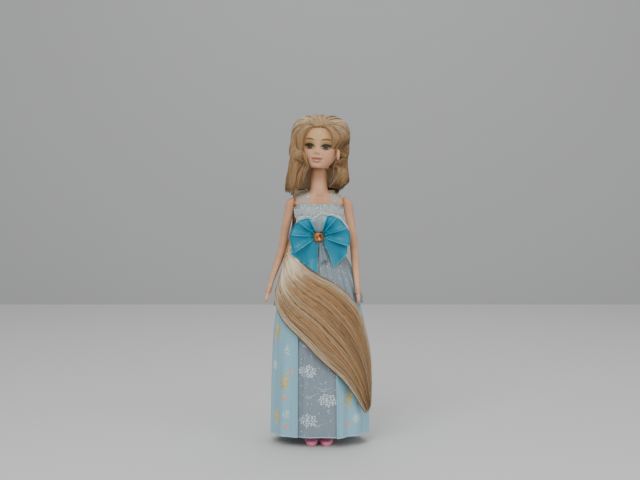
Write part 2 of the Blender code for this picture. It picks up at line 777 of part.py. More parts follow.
def face_opening():
    """The arch-shaped space in front of the face that the hair leaves free."""
    outline = []
    arch_steps = 16
    base = mix(CHIN_Z, FACE_OPENING_TOP_Z, 0.45)
    rise = FACE_OPENING_TOP_Z - base
    for i in range(arch_steps + 1):
        angle = math.pi * i / arch_steps
        x = FACE_OPENING_HALF_WIDTH * signed_power(math.cos(angle), 0.8)
        outline.append((x, base + rise * signed_power(math.sin(angle), 0.9)))
    outline.append((-FACE_OPENING_HALF_WIDTH, CHIN_Z - OVERRUN))
    outline.append((FACE_OPENING_HALF_WIDTH, CHIN_Z - OVERRUN))
    rings = []
    for y in (FACE_OPENING_BACK_Y, -HEAD_FRONT - OVERRUN * 2):
        rings.append([head_place(Vector((x, y, z))) for x, z in outline])
    return add_tube(bmesh.new(), rings)


def make_hair_curtain():
    """Hair that hangs from the cap to the shoulders, round the back of the neck."""
    steps = 26
    levels = (0, 0.33, 0.67, 1)
    top_row = read_table(HEAD_SHARES[3:], (CURTAIN_TOP_Z - CHIN_Z) / HEAD_HEIGHT)
    out = HAIR_THICKNESS / 2 + 2 * LAYER_GAP
    top_width = top_row[0] * HEAD_HALF_WIDTH + out + HAIR_SIDE_SWELL / 2
    top_back = top_row[2] * HEAD_BACK + out
    start = -CURTAIN_FRONT_ANGLE
    end = math.pi + CURTAIN_RIGHT_FRONT_ANGLE
    grid = []
    for share in levels:
        width = mix(top_width, CURTAIN_BOTTOM_HALF_WIDTH, share)
        back = mix(top_back, CURTAIN_BOTTOM_BACK, share)
        z = mix(CURTAIN_TOP_Z, CURTAIN_BOTTOM_Z, share)
        line = []
        for j in range(steps + 1):
            angle = mix(start, end, j / steps)
            x, y = oval_point(angle, width, back, back, HEAD_ROUNDNESS)
            point = head_place(Vector((x, y + NECK_Y, z)), 1 - share)
            point.x += CURTAIN_SWAY_X * share
            point.z = z
            line.append(point)
        grid.append(line)

    def half(i, j):
        edge = min(j, steps - j) / 3
        taper = mix(LONG_HAIR_EDGE_SHARE * 3, 1, min(1, edge))
        body = mix(HAIR_THICKNESS, CURTAIN_THICKNESS, levels[i]) / 2
        full = side_swell(mix(start, end, j / steps)) * mix(1, 0.4, levels[i]) / 2
        return (body + full + groove(j / steps, 7, HAIR_GROOVE)) * taper

    def level(point):
        point.z = min(CURTAIN_TOP_Z, max(CURTAIN_BOTTOM_Z, point.z))
        return point

    bm = sheet(grid, half, half, adjust=level)
    add_node("hair_curtain", bm, HAIR, origin=Vector((0, NECK_Y, NECK_TOP_Z)))


# Arms


def arm_centre(row, side):
    """The middle of a section: the left arm hangs at the side, and the right one leans out over the skirt."""
    drop, out, forward, _, _ = row
    spread = ARM_LENGTH if side > 0 else HEM_HALF_WIDTH - ARM_FLAT_X
    x = side * (ARM_FLAT_X + ARM_RADIUS * LEFT_ARM_SHARES[0][3] + out * spread)
    return Vector((x, forward * ARM_LENGTH, SHOULDER_Z - drop * ARM_LENGTH))


def flat_ring(centre, half_width, half_depth, steps, roundness):
    ring = []
    for i in range(steps):
        x, y = oval_point(math.tau * i / steps, half_width, half_depth, half_depth, roundness)
        ring.append(centre + Vector((x, y, 0)))
    return ring


def add_finger(bm, start, direction, length, radius):
    """A finger with a rounded tip."""
    profile = [
        (-length * 0.25, radius * 0.8),
        (0, radius),
        (length * 0.55, radius * 0.92),
        (length * 0.9, radius * 0.7),
        (length, radius * 0.3),
    ]
    add_disc_stack(bm, start, direction, profile, 6)


def make_arm(name, side, shares):
    steps = 14
    rings = []
    first = arm_centre(shares[0], side)
    width, depth = shares[0][3] * ARM_RADIUS, shares[0][4] * ARM_RADIUS
    for rise, depth_share, width_share in ARM_CAP_SHARES:
        inset = side * (width - width * width_share)
        centre = first + Vector((-inset, 0, depth * rise))
        rings.append(flat_ring(centre, width * width_share, depth * depth_share, steps, 2.6))
    for row in shares:
        rings.append(
            flat_ring(arm_centre(row, side), row[3] * ARM_RADIUS, row[4] * ARM_RADIUS, steps, 2.2)
        )
    bm = add_tube(bmesh.new(), rings)
    for v in bm.verts:
        v.co.x = side * max(ARM_FLAT_X, side * v.co.x)
    axis = Vector((side * ARM_FLAT_X, 0, SHOULDER_Z))
    arm = add_node(name, bm, SKIN, origin=axis)

    digits = bmesh.new()
    wrist, palm = arm_centre(shares[-2], side), arm_centre(shares[-1], side)
    along = (palm - wrist).normalized()
    spread = Vector((0, 1, 0)) - along * along.y
    spread.normalize()
    finger_share = (0.86, 1, 0.97, 0.8)
    for k, share in enumerate(finger_share):
        start = palm + spread * FINGER_PITCH * (k - 1.5)
        lean = (along + spread * 0.04 * (k - 1.5)).normalized()
        add_finger(digits, start, lean, FINGER_LENGTH * share, FINGER_RADIUS)
    thumb_start = mix(wrist, palm, 0.35) - spread * FINGER_PITCH * 1.25
    thumb_way = (along - spread * 0.42).normalized()
    add_finger(digits, thumb_start, thumb_way, THUMB_LENGTH, FINGER_RADIUS * 1.1)
    boolean(arm, add_cutter(name + "_fingers", digits, SKIN), "UNION", crossing=True)

    peg = bmesh.new()
    flange_end = PEG_LENGTH + PEG_FLANGE_THICKNESS
    profile = [
        (-ARM_RADIUS / 2, PEG_RADIUS),
        (PEG_LENGTH, PEG_RADIUS),
        (PEG_LENGTH, PEG_FLANGE_RADIUS),
        (flange_end, PEG_FLANGE_RADIUS),
    ]
    add_disc_stack(peg, axis, Vector((-side, 0, 0)), profile, 20)
    boolean(arm, add_cutter(name + "_peg", peg, SKIN), "UNION")


# Legs and shoes


def foot_rings(side, out, steps):
    """Rings from the ankle to the toes of the arched foot, each grown by the distance out."""
    rings = []
    for forward, height, tilt, half_length, half_width in FOOT_SHARES:
        centre = Vector((side * FOOT_X, forward * ANKLE_Z, height * ANKLE_Z))
        lean = math.radians(tilt)
        ring = []
        for i in range(steps):
            angle = math.tau * i / steps
            across, along = oval_point(
                angle,
                half_width * ANKLE_Z + out,
                half_length * ANKLE_Z + out,
                half_length * ANKLE_Z + out,
                2.2,
            )
            y, z = along * math.cos(lean), -along * math.sin(lean)
            ring.append(centre + Vector((across, y, z)))
        rings.append(ring)
    return rings


def make_leg(name, side):
    steps = 16
    rings = []
    _, first_side, _, first_width, _ = LEG_SHARES[0]
    width = first_width * HIP_RADIUS
    for rise, depth_share, width_share in LEG_CAP_SHARES:
        inset = side * (width - width * width_share)
        centre = Vector((side * first_side * HIP_X - inset, 0, HIP_Z + HIP_RADIUS * rise))
        rings.append(flat_ring(centre, width * width_share, HIP_RADIUS * depth_share, steps, 3.2))
    for drop, across, forward, half_width, half_depth in LEG_SHARES:
        centre = Vector((side * across * HIP_X, forward * HIP_RADIUS, HIP_Z * (1 - drop)))
        roundness = mix(3.2, 2.1, ease(0, 0.16, drop))
        rings.append(
            flat_ring(centre, half_width * HIP_RADIUS, half_depth * HIP_RADIUS, steps, roundness)
        )
    rings += foot_rings(side, 0, steps)
    bm = add_tube(bmesh.new(), rings)
    axis = Vector((side * leg_inner_x(), 0, HIP_Z))
    leg = add_node(name, bm, SKIN, origin=axis)
    peg = bmesh.new()
    profile = [(-HIP_RADIUS / 4, HIP_PEG_RADIUS), (HIP_PEG_LENGTH, HIP_PEG_RADIUS)]
    add_disc_stack(peg, axis, Vector((-side, 0, 0)), profile, 16)
    boolean(leg, add_cutter(name + "_peg", peg, SKIN), "UNION")


def make_shoe(name, side):
    steps = 18
    outer = foot_rings(side, SHOE_GAP + SHOE_WALL, steps)
    tip = outer[-1]
    middle = sum(tip, Vector()) / len(tip)
    push = Vector((0, -SHOE_WALL - SHOE_GAP, 0))
    outer.append([mix(middle, p, 0.55) + push for p in tip])
    bm = add_tube(bmesh.new(), outer)
    for v in bm.verts:
        v.co.z = max(0, v.co.z)
    shoe = add_node(name, bm, PINK, origin=Vector((side * leg_inner_x(), 0, HIP_Z)))

    heel = bmesh.new()
    centre = Vector((side * FOOT_X, HEEL_Y, 0))
    profile = [(0, HEEL_RADIUS), (HEEL_TOP_Z / 2, HEEL_RADIUS), (HEEL_TOP_Z, HEEL_TOP_RADIUS)]
    add_disc_stack(heel, centre, Vector((0, 0, 1)), profile, 14)
    boolean(shoe, add_cutter(name + "_heel", heel, PINK), "UNION")

    inner = foot_rings(side, SHOE_GAP, steps)
    tip = inner[-1]
    middle = sum(tip, Vector()) / len(tip)
    inner.append([mix(middle, p, 0.6) + Vector((0, -SHOE_GAP, 0)) for p in tip])
    foot_space = add_cutter(name + "_foot_space", add_tube(bmesh.new(), inner), PINK)
    boolean(shoe, foot_space, "DIFFERENCE")

    opening = bmesh.new()
    top = ANKLE_Z + OVERRUN
    outline = [
        (SHOE_VAMP_Y, SHOE_TOPLINE_FRONT_Z),
        (SHOE_VAMP_Y * 0.7, mix(SHOE_TOPLINE_FRONT_Z, SHOE_TOPLINE_BACK_Z, 0.08)),
        (HEEL_Y + OVERRUN, SHOE_TOPLINE_BACK_Z),
        (HEEL_Y + OVERRUN, top),
        (SHOE_VAMP_Y, top),
    ]
    half = FOOT_SHARES[0][3] * ANKLE_Z + OVERRUN
    ends = (side * FOOT_X - half, side * FOOT_X + half)
    rings = [[Vector((x, y, z)) for y, z in outline] for x in ends]
    boolean(shoe, add_cutter(name + "_opening", add_tube(opening, rings), PINK), "DIFFERENCE")


# Gown


def skirt_sizes(z):
    drop = (WAIST_Z - z) / (WAIST_Z - HEM_Z)
    width, depth = read_table(SKIRT_SHARES, drop)
    return width * HEM_HALF_WIDTH, depth * HEM_HALF_DEPTH, drop


def skirt_point(step, z):
    """A point of the skirt's cloth: gathered at the waist, with soft folds that grow to the hem."""
    angle = math.tau * step / SKIRT_STEPS
    width, depth, drop = skirt_sizes(z)
    swing = ease(0.1, 1, drop)
    wave = math.cos(FOLD_COUNT * angle + 0.9) * 0.7 + math.cos(5 * angle) * 0.3
    scale = 1 + FOLD_DEPTH_SHARE * swing * (wave - 1)
    x, y = oval_point(angle, width, depth, depth * mix(1, HEM_BACK_SHARE, drop), SKIRT_ROUNDNESS)
    return Vector((x * scale, y * scale, z))


def skirt_levels():
    return [mix(WAIST_Z, HEM_Z, drop) for drop, _, _ in reversed(SKIRT_SHARES)]


def skirt_grid(steps):
    return [[skirt_point(step, z) for step in steps] for z in skirt_levels()]


def make_skirt():
    grid = skirt_grid(range(SKIRT_STEPS))
    add_node("skirt", sheet(grid, 0, SKIRT_CLOTH, wrap=True), SATIN)


def make_panel():
    """The sheer panel over the front of the skirt."""
    grid = skirt_grid(range(PANEL_FIRST_STEP, PANEL_LAST_STEP + 1))[:-1]
    bm = sheet(grid, LAYER_GAP + PANEL_CLOTH, -LAYER_GAP)
    add_node("front_panel", bm, GREY_SHEER)


def torso_levels(low, high):
    """The two heights given and the torso's own rows between them, so that cloth follows its facets."""
    rows = [mix(CROTCH_Z, NECK_BASE_Z, share) for share, *_ in TORSO_SHARES]
    return [low] + [z for z in rows if low + CLOTH < z < high - CLOTH] + [high]


def make_bodice():
    low = WAIST_Z + CLOTH_GAP
    steps = 2 * TORSO_STEPS
    grid = [
        [torso_point(math.tau * j / steps, z) for j in range(steps)]
        for z in torso_levels(low, BODICE_TOP_Z)
    ]
    bm = sheet(grid, CLOTH_GAP + CLOTH, -CLOTH_GAP, wrap=True)
    add_node("bodice", bm, GLITTER)


def make_lace_band():
    steps = 2 * TORSO_STEPS
    low = BODICE_TOP_Z + LAYER_GAP
    grid = []
    for i in range(5):
        line = []
        for j in range(steps):
            angle = math.tau * j / steps
            side = ease(0.5, 0.9, abs(math.cos(angle)))
            top = LACE_TOP_Z - LACE_SIDE_DIP * side
            line.append(torso_point(angle, mix(low, top, i / 4)))
        grid.append(line)
    bm = sheet(grid, CLOTH_GAP + CLOTH, -CLOTH_GAP, wrap=True)
    add_node("lace_band", bm, LACE)


def ridge_z(x):
    """The height at which the top of the shoulder is as wide as x."""
    low, high = mix(CROTCH_Z, NECK_BASE_Z, 0.93), NECK_BASE_Z
    for _ in range(30):
        middle = (low + high) / 2
        if torso_sizes(middle)[0] > x:
            low = middle
        else:
            high = middle
    return low


def strap_point(x, travel):
    """Travel runs from -1 at the front of the band over the shoulder to 1 at its back."""
    top = ridge_z(x)
    z = mix(top, LACE_TOP_Z + LAYER_GAP + CLOTH, abs(travel) ** 1.6)
    width, front, back = torso_sizes(z)
    inside = max(0, 1 - (x / width) ** TORSO_ROUNDNESS)
    depth = back if travel > 0 else -front
    return Vector((x, depth * inside ** (1 / TORSO_ROUNDNESS), z))


def make_strap(name, side):
    grid = []
    for i in range(13):
        travel = mix(-1, 1, i / 12)
        line = []
        for j in range(4):
            x = mix(STRAP_INNER_X, STRAP_OUTER_X, j / 3)
            point = strap_point(x, travel)
            line.append(Vector((side * point.x, point.y, point.z)))
        grid.append(line if side > 0 else line[::-1])
    bm = sheet(grid, CLOTH_GAP + STRAP_CLOTH, -CLOTH_GAP)
    add_node(name, bm, SHEER)


# Bow


def loop_point(u, v, side):
    """u runs along the ribbon, out and back, and v from the ribbon's lower edge to its upper one."""
    out, forward = read_table(BOW_LOOP_SHARES, u)
    spread = mix(BOW_KNOT_HALF_HEIGHT * 0.72, BOW_HALF_HEIGHT, ease(0.15, 0.85, out))
    rounding = 1 - 0.12 * v * v * ease(0.5, 1, out)
    ripple = math.cos(v * math.pi * 2.5) * BOW_FOLD * ease(0.15, 0.5, out)
    x = side * BOW_REACH * out * rounding
    y = BOW_BACK_Y - BOW_DEPTH * forward + (ripple if u < 0.68 else 0)
    z = BOW_Z + BOW_HALF_HEIGHT * 0.1 * ease(0.1, 1, out) + v * spread
    return Vector((x, y, z))


def make_bow_loop(name, side):
    rows, columns = 12, 8
    grid = []
    for i in range(rows + 1):
        line = [loop_point(i / rows, mix(-1, 1, j / columns), side) for j in range(columns + 1)]
        grid.append(line)
    add_node(name, sheet(grid, BOW_RIBBON / 2, BOW_RIBBON / 2), RIBBON)


def skirt_front(x, z):
    """How far the skirt reaches forwards at a place seen from the front."""
    width, depth, _ = skirt_sizes(min(z, WAIST_Z))
    inside = max(0, 1 - (abs(x) / width) ** SKIRT_ROUNDNESS)
    return depth * inside ** (1 / SKIRT_ROUNDNESS)


def make_bow_tail(name, corners):
    """A ribbon end that hangs over the skirt: corners are its top and bottom edges in shares of the bow's reach."""
    top_a, top_b, low_a, low_b = corners
    grid = []
    for i in range(7):
        down = i / 6
        line = []
        for j in range(6):
            across = j / 5
            x = mix(mix(top_a[0], top_b[0], across), mix(low_a[0], low_b[0], across), down) * BOW_REACH
            z = BOW_Z + mix(mix(top_a[1], top_b[1], across), mix(low_a[1], low_b[1], across), down) * BOW_REACH
            lies = skirt_front(x, z) + TAIL_GAP + PANEL_CLOTH + LAYER_GAP
            hangs = VEIL_Y + VEIL_CLOTH + SEAM_GAP
            bend = BOW_FOLD * math.cos(across * math.tau)
            y = -max(lies, hangs) - BOW_RIBBON / 2 - bend * ease(0.4, 1, down)
            line.append(Vector((x, y, z)))
        grid.append(line)
    add_node(name, sheet(grid, BOW_RIBBON / 2, BOW_RIBBON / 2), RIBBON)


def make_veil():
    """The sheer second bow behind the ribbon one."""
    grid = []
    columns = 14
    for i in range(7):
        v = mix(-1, 1, i / 6)
        line = []
        for j in range(columns + 1):
            u = mix(-1, 1, j / columns)
            x = VEIL_HALF_WIDTH * u * (1 - 0.1 * v * v)
            reach = ease(0, 0.75, abs(u))
            z = BOW_Z + BOW_HALF_HEIGHT * 0.12 * reach
            z += v * mix(BOW_KNOT_HALF_HEIGHT * 0.8, BOW_HALF_HEIGHT * 1.08, reach)
            y = -mix(VEIL_CENTRE_Y, VEIL_Y, ease(0.18, 0.34, abs(u)))
            line.append(Vector((x, y, z)))
        grid.append(line)
    add_node("bow_veil", sheet(grid, VEIL_CLOTH / 2, VEIL_CLOTH / 2), SHEER)


def make_bow_knot():
    bm = bmesh.new()
    back, front = -BOW_BACK_Y, -BOW_BACK_Y + BOW_DEPTH
    rings = []
    for share, size in ((0, 0.8), (0.2, 1), (0.8, 1), (1, 0.85)):
        y = -mix(back, front, share)
        ring = []
        for i in range(16):
            x, z = oval_point(
                math.tau * i / 16,
                BOW_KNOT_HALF_WIDTH * size,
                BOW_KNOT_HALF_HEIGHT * size,
                BOW_KNOT_HALF_HEIGHT * size,
                3.5,
            )
            ring.append(Vector((x, y, BOW_Z + z)))
        rings.append(ring)
    add_node("bow_knot", add_tube(bm, rings), RIBBON)


def square_ring(size, y):
    ring = []
    for a, b in ((-1, -1), (1, -1), (1, 1), (-1, 1)):
        x, z = a * size / 2, b * size / 2
        turned = (
            x * math.cos(GEM_TURN) - z * math.sin(GEM_TURN),
            x * math.sin(GEM_TURN) + z * math.cos(GEM_TURN),
        )
        ring.append(Vector((turned[0], y, BOW_Z + turned[1])))
    return ring


def make_gem():
    """The square stone in its claw setting, on the front of the knot."""
    back = BOW_BACK_Y - BOW_DEPTH - SEAM_GAP
    plate_front = back - SETTING_THICKNESS
    border = GEM_SIZE + 2 * SETTING_BORDER
    plate = add_tube(bmesh.new(), [square_ring(border, back), square_ring(border, plate_front)])
    setting = add_node("gem_setting", plate, GOLD, smooth=False)
    claws = bmesh.new()
    for corner in square_ring(border - 2 * PRONG_RADIUS, plate_front):
        profile = [(-SETTING_THICKNESS / 2, PRONG_RADIUS), (GEM_DEPTH * 0.6, PRONG_RADIUS)]
        add_disc_stack(claws, corner, Vector((0, -1, 0)), profile, 8)
    boolean(setting, add_cutter("gem_claws", claws, GOLD), "UNION")
    gem_back = plate_front - SEAM_GAP
    sections = ((0, 0.72), (0.35, 1), (0.55, 1), (1, 0.55))
    stone_size = GEM_SIZE - 2 * PRONG_RADIUS
    rings = [square_ring(stone_size * s, gem_back - GEM_DEPTH * d) for d, s in sections]
    add_node("gem", add_tube(bmesh.new(), rings), AMBER, smooth=False)


# Back closure


def make_closure():
    """Hook and loop tapes down the back of the bodice, under a flap of its own cloth."""
    levels = [mix(WAIST_Z + CLOTH_GAP * 2, BODICE_TOP_Z - CLOTH_GAP, i / 5) for i in range(6)]
    steps = 4
    turn = CLOSURE_HALF_WIDTH / TORSO_HALF_WIDTH
    near = CLOTH_GAP + CLOTH + LAYER_GAP
    for name, finish in (("loop_tape", TAPE), ("hook_tape", TAPE), ("closure_flap", GLITTER)):
        grid = []
        for z in levels:
            angles = [math.pi / 2 + turn * mix(-1, 1, j / steps) for j in range(steps + 1)]
            grid.append([torso_point(angle, z) for angle in angles])
        bm = sheet(grid, near + TAPE_THICKNESS, -near)
        add_node(name, bm, finish)
        near += TAPE_THICKNESS + LAYER_GAP


# Long hair


def hair_place(x, y, z):
    """A point of the hair: it keeps to the body above, and spreads with the right arm and the hem below."""
    height = z * WAIST_Z
    drop = (SHOULDER_Z - height) / ARM_LENGTH
    leaning = read_table(RIGHT_ARM_SHARES, drop)[0] / RIGHT_ARM_SHARES[-1][1]
    spread = mix(ARM_FLAT_X * LONG_HAIR_ARM_SHARE, HEM_HALF_WIDTH, leaning)
    return Vector((x * spread, y * HEM_HALF_DEPTH, height))


def hair_section(row, steps):
    """A line of points across the hair, from its upper edge to its lower one."""
    first, second = hair_place(*row[:3]), hair_place(*row[3:6])
    lies = row[6]
    line = []
    for j in range(steps + 1):
        point = first.lerp(second, j / steps)
        out = LONG_HAIR_CLEARANCE + LONG_HAIR_THICKNESS / 2
        if lies > 0:
            width, depth, _ = skirt_sizes(min(point.z, WAIST_Z))
            reach = min(0.985, abs(point.x) / (width + out))
            front = (depth + out) * (1 - reach**SKIRT_ROUNDNESS) ** (1 / SKIRT_ROUNDNESS)
            point.y = mix(point.y, -front, lies)
        line.append(point)
    return line


def make_long_hair():
    """The hair below the head: down behind the shoulders, forward under the right arm, across the skirt."""
    steps, splits = 10, 2
    rows = [(i, *row) for i, row in enumerate(LONG_HAIR_SHARES)]
    count = (len(rows) - 1) * splits
    grid = [hair_section(read_table(rows, i / splits), steps) for i in range(count + 1)]
    ceiling = CURTAIN_BOTTOM_Z - SPLIT_GAP
    for point in grid[0]:
        point.z = ceiling
    normals = grid_normals(grid, False)
    split = LONG_HAIR_SPLIT_ROW * splits

    def half(i, j):
        edge = 1 - abs(2 * j / steps - 1) ** 3
        body = mix(LONG_HAIR_EDGE_SHARE, 0.5, edge) * LONG_HAIR_THICKNESS
        return body + groove(j / steps, 4, HAIR_GROOVE) * edge / 2

    def below_split(point):
        point.z = min(ceiling, point.z)
        return point

    fall = sheet(grid[: split + 1], half, half, adjust=below_split, normals=normals)
    add_node("hair_fall", fall, HAIR)
    start = [p.lerp(q, SPLIT_GAP / (q - p).length) for p, q in zip(grid[split], grid[split + 1])]
    sweep = sheet([start] + grid[split + 1 :], half, half, normals=normals[split:])
    add_node("hair_sweep", sweep, HAIR)


def main():
    clear_scene()
    make_torso()
    make_hip_block()
    make_neck()
    make_head()
    make_hair_cap()
    make_hair_curtain()
    make_arm("arm_left", 1, LEFT_ARM_SHARES)
    make_arm("arm_right", -1, RIGHT_ARM_SHARES)
    for side, word in ((1, "left"), (-1, "right")):
        make_leg("leg_" + word, side)
        make_shoe("shoe_" + word, side)
        make_strap("strap_" + word, side)
        make_bow_loop("bow_loop_" + word, side)
    make_bodice()
    make_lace_band()
    make_closure()
    make_skirt()
    make_panel()
    make_veil()
    make_bow_knot()
    make_bow_tail("bow_tail_right", RIGHT_TAIL_SHARES)
    make_bow_tail("bow_tail_left", LEFT_TAIL_SHARES)
    make_gem()
    make_long_hair()


main()
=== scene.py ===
"""Looks of the fashion doll: vinyl skin, painted face, combed hair, gown, bow, stone and shoes.

Metres, +Z up. The doll looks along -Y, so its left hand is at +X.
"""

import logging
import math
import random
from collections.abc import Callable, Iterable, Sequence
from dataclasses import dataclass
from enum import Enum

import bpy
from mathutils import Matrix, Vector
from mathutils.bvhtree import BVHTree
from mathutils.kdtree import KDTree


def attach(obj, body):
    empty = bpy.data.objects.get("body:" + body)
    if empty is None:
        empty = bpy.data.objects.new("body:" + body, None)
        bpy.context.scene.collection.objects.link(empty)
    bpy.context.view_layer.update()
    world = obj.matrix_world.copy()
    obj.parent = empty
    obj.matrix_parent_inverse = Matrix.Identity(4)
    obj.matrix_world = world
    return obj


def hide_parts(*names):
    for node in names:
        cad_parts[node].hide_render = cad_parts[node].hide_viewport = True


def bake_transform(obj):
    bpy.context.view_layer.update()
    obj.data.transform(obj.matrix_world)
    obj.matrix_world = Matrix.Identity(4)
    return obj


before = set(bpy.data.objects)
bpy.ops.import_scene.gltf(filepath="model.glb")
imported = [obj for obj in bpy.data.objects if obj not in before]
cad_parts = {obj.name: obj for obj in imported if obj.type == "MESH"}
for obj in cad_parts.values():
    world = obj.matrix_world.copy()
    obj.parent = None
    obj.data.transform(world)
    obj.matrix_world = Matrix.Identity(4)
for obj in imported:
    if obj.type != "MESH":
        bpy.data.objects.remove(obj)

log = logging.getLogger("fashion_doll")

Row = tuple[float, ...]
Colour = tuple[float, float, float]
Place = Callable[[float, float], Vector]
Piece = bpy.types.Object
Material = bpy.types.Material
Node = bpy.types.Node
Socket = bpy.types.NodeSocket
Tree = bpy.types.NodeTree


class Body(Enum):
    """The moving bodies that pieces ride on."""

    TORSO = "torso"
    HEAD = "head"
    ARM_LEFT = "arm_left"
    ARM_RIGHT = "arm_right"
    LEG_LEFT = "leg_left"
    LEG_RIGHT = "leg_right"


class Side(Enum):
    """The doll's own sides, as the sign of X."""

    LEFT = 1
    RIGHT = -1

    @property
    def word(self) -> str:
        """The side as it stands in piece names."""
        return self.name.lower()


class Held(Enum):
    """How a sheet of cloth is held."""

    GATHERED = "gathered"
    FOLDED = "folded"


# Reading tables and shaping curves


def clamp(value: float, low: float = 0.0, high: float = 1.0) -> float:
    """The value, kept between low and high."""
    return min(high, max(low, value))


def mix(a: float, b: float, share: float) -> float:
    """The value a share of the way from a to b."""
    return a + (b - a) * share


def ease(start: float, end: float, value: float) -> float:
    """A smooth step from 0 at start to 1 at end."""
    share = clamp((value - start) / (end - start))
    return share * share * (3 - 2 * share)


def bump(centre: float, spread: float, value: float) -> float:
    """A bell curve of height 1."""
    away = (value - centre) / spread
    return math.exp(-away * away)


def read_rows(rows: Sequence[Row], t: float) -> list[float]:
    """Reads the smooth curve through the rows of a table.

    Args:
        rows: Rows whose first number rises.
        t: Where to read, as a value of the first number.

    Returns:
        The other numbers at t.
    """
    last = len(rows) - 1
    i = 0
    while i < last - 1 and rows[i + 1][0] < t:
        i += 1
    low, high = rows[i], rows[i + 1]
    before, after = rows[max(i - 1, 0)], rows[min(i + 2, last)]
    span = high[0] - low[0]
    s = clamp((t - low[0]) / span)
    values = []
    for k in range(1, len(low)):
        first = (high[k] - before[k]) / (high[0] - before[0])
        second = (after[k] - low[k]) / (after[0] - low[0])
        value = low[k] * (1 + 2 * s) * (1 - s) ** 2 + high[k] * s * s * (3 - 2 * s)
        value += span * (first * s * (1 - s) ** 2 - second * s * s * (1 - s))
        values.append(value)
    return values


def signed_power(value: float, power: float) -> float:
    """A power that keeps the sign."""
    return math.copysign(abs(value) ** power, value)


def oval(angle: float, half_width: float, front: float, back: float, roundness: float) -> tuple[float, float]:
    """A point of a rounded outline.

    Args:
        angle: Where on it; 0 is +X and a quarter turn is +Y, the back.
        half_width: Half the outline's width.
        front: Its depth to the front.
        back: Its depth to the back.
        roundness: 2 for an ellipse, more for a squarer outline.

    Returns:
        The point's x and y.
    """
    power = 2 / roundness
    depth = back if math.sin(angle) > 0 else front
    return half_width * signed_power(math.cos(angle), power), depth * signed_power(math.sin(angle), power)


# Making and finishing meshes


def select_only(*pieces: Piece) -> None:
    """Selects some pieces alone.

    Args:
        pieces: The pieces, of which the last one becomes active.
    """
    bpy.ops.object.select_all(action="DESELECT")
    for piece in pieces:
        piece.select_set(True)
    if pieces:
        bpy.context.view_layer.objects.active = pieces[-1]


def named(name: str) -> Piece:
    """Names the object that an operator has just added.

    Args:
        name: Its name.

    Returns:
        The object.
    """
    piece = bpy.context.view_layer.objects.active
    piece.name = piece.data.name = name
    return piece


def add_object(name: str, data: bpy.types.ID) -> Piece:
    """Adds an object to the scene.

    Args:
        name: Its name.
        data: Its mesh, curve or camera.

    Returns:
        The object.
    """
    made = bpy.data.objects.new(name, data)
    bpy.context.scene.collection.objects.link(made)
    return made


def mesh_piece(name: str, points: Iterable[Sequence[float]], faces: Sequence[Sequence[int]]) -> Piece:
    """Adds a piece made of points and faces.

    Args:
        name: The piece's name.
        points: Its points.
        faces: Its faces, each by the numbers of its points.

    Returns:
        The piece.
    """
    mesh = bpy.data.meshes.new(name)
    mesh.from_pydata([tuple(point) for point in points], [], faces)
    return add_object(name, mesh)


def apply_modifiers(piece: Piece) -> Piece:
    """Applies a piece's modifiers in order.

    Args:
        piece: The piece.

    Returns:
        The piece.
    """
    select_only(piece)
    for modifier in list(piece.modifiers):
        bpy.ops.object.modifier_apply(modifier=modifier.name)
    return piece


def smooth(piece: Piece, degrees: float = 180.0) -> Piece:
    """Shades a piece smooth.

    Args:
        piece: The piece.
        degrees: The angle between faces up to which it looks smooth; 180 for all of it.

    Returns:
        The piece.
    """
    select_only(piece)
    if degrees == 180.0:
        bpy.ops.object.shade_smooth()
    else:
        bpy.ops.object.shade_smooth_by_angle(angle=math.radians(degrees))
    return piece


def edit(piece: Piece, *steps: Callable[[], object], select: str = "SELECT") -> Piece:
    """Runs mesh operators on a piece in edit mode.

    Args:
        piece: The piece.
        steps: The operators, in order.
        select: What is done to the selection before them.

    Returns:
        The piece.
    """
    select_only(piece)
    bpy.ops.object.mode_set(mode="EDIT")
    bpy.ops.mesh.select_all(action=select)
    for step in steps:
        step()
    bpy.ops.object.mode_set(mode="OBJECT")
    return piece


def merge(piece: Piece, distance: float = 1e-6) -> Piece:
    """Merges the points of a piece that lie on each other."""
    return edit(piece, lambda: bpy.ops.mesh.remove_doubles(threshold=distance))


def face_out(piece: Piece) -> Piece:
    """Turns the faces of a closed piece outwards."""
    return edit(piece, lambda: bpy.ops.mesh.normals_make_consistent(inside=False))


def close_ends(piece: Piece) -> Piece:
    """Closes the open rings of a tube and turns its faces outwards."""
    edit(piece, bpy.ops.mesh.select_non_manifold, bpy.ops.mesh.edge_face_add, select="DESELECT")
    return face_out(piece)


def join(name: str, pieces: Sequence[Piece]) -> Piece:
    """Joins pieces into one.

    Args:
        name: The name of the whole.
        pieces: The pieces.

    Returns:
        The whole.
    """
    select_only(*pieces)
    bpy.ops.object.join()
    return named(name)


def grid_piece(name: str, columns: int, rows: int, place: Place, wrap: bool = False) -> Piece:
    """Adds a primitive grid and moves its points onto a surface.

    Args:
        name: The piece's name.
        columns: Faces along u.
        rows: Faces along v.
        place: The point of the surface at u and v, each from 0 to 1.
        wrap: Whether u = 0 and u = 1 meet.

    Returns:
        The piece, with a UV map from 0 to 1 both ways.
    """
    bpy.ops.object.select_all(action="DESELECT")
    bpy.ops.mesh.primitive_grid_add(x_subdivisions=columns, y_subdivisions=rows, size=1, calc_uvs=True)
    piece = named(name)
    for vertex in piece.data.vertices:
        vertex.co = place(vertex.co.x + 0.5, vertex.co.y + 0.5)
    if wrap:
        merge(piece)
    return smooth(piece)


def scale_uv(piece: Piece, flat: tuple[float, float]) -> Piece:
    """Stretches a UV map from 0 to 1 so that weaves have their real scale.

    Args:
        piece: The piece.
        flat: Its width and length in metres.

    Returns:
        The piece.
    """
    for loop in piece.data.uv_layers.active.data:
        loop.uv = (loop.uv[0] * flat[0], loop.uv[1] * flat[1])
    return piece


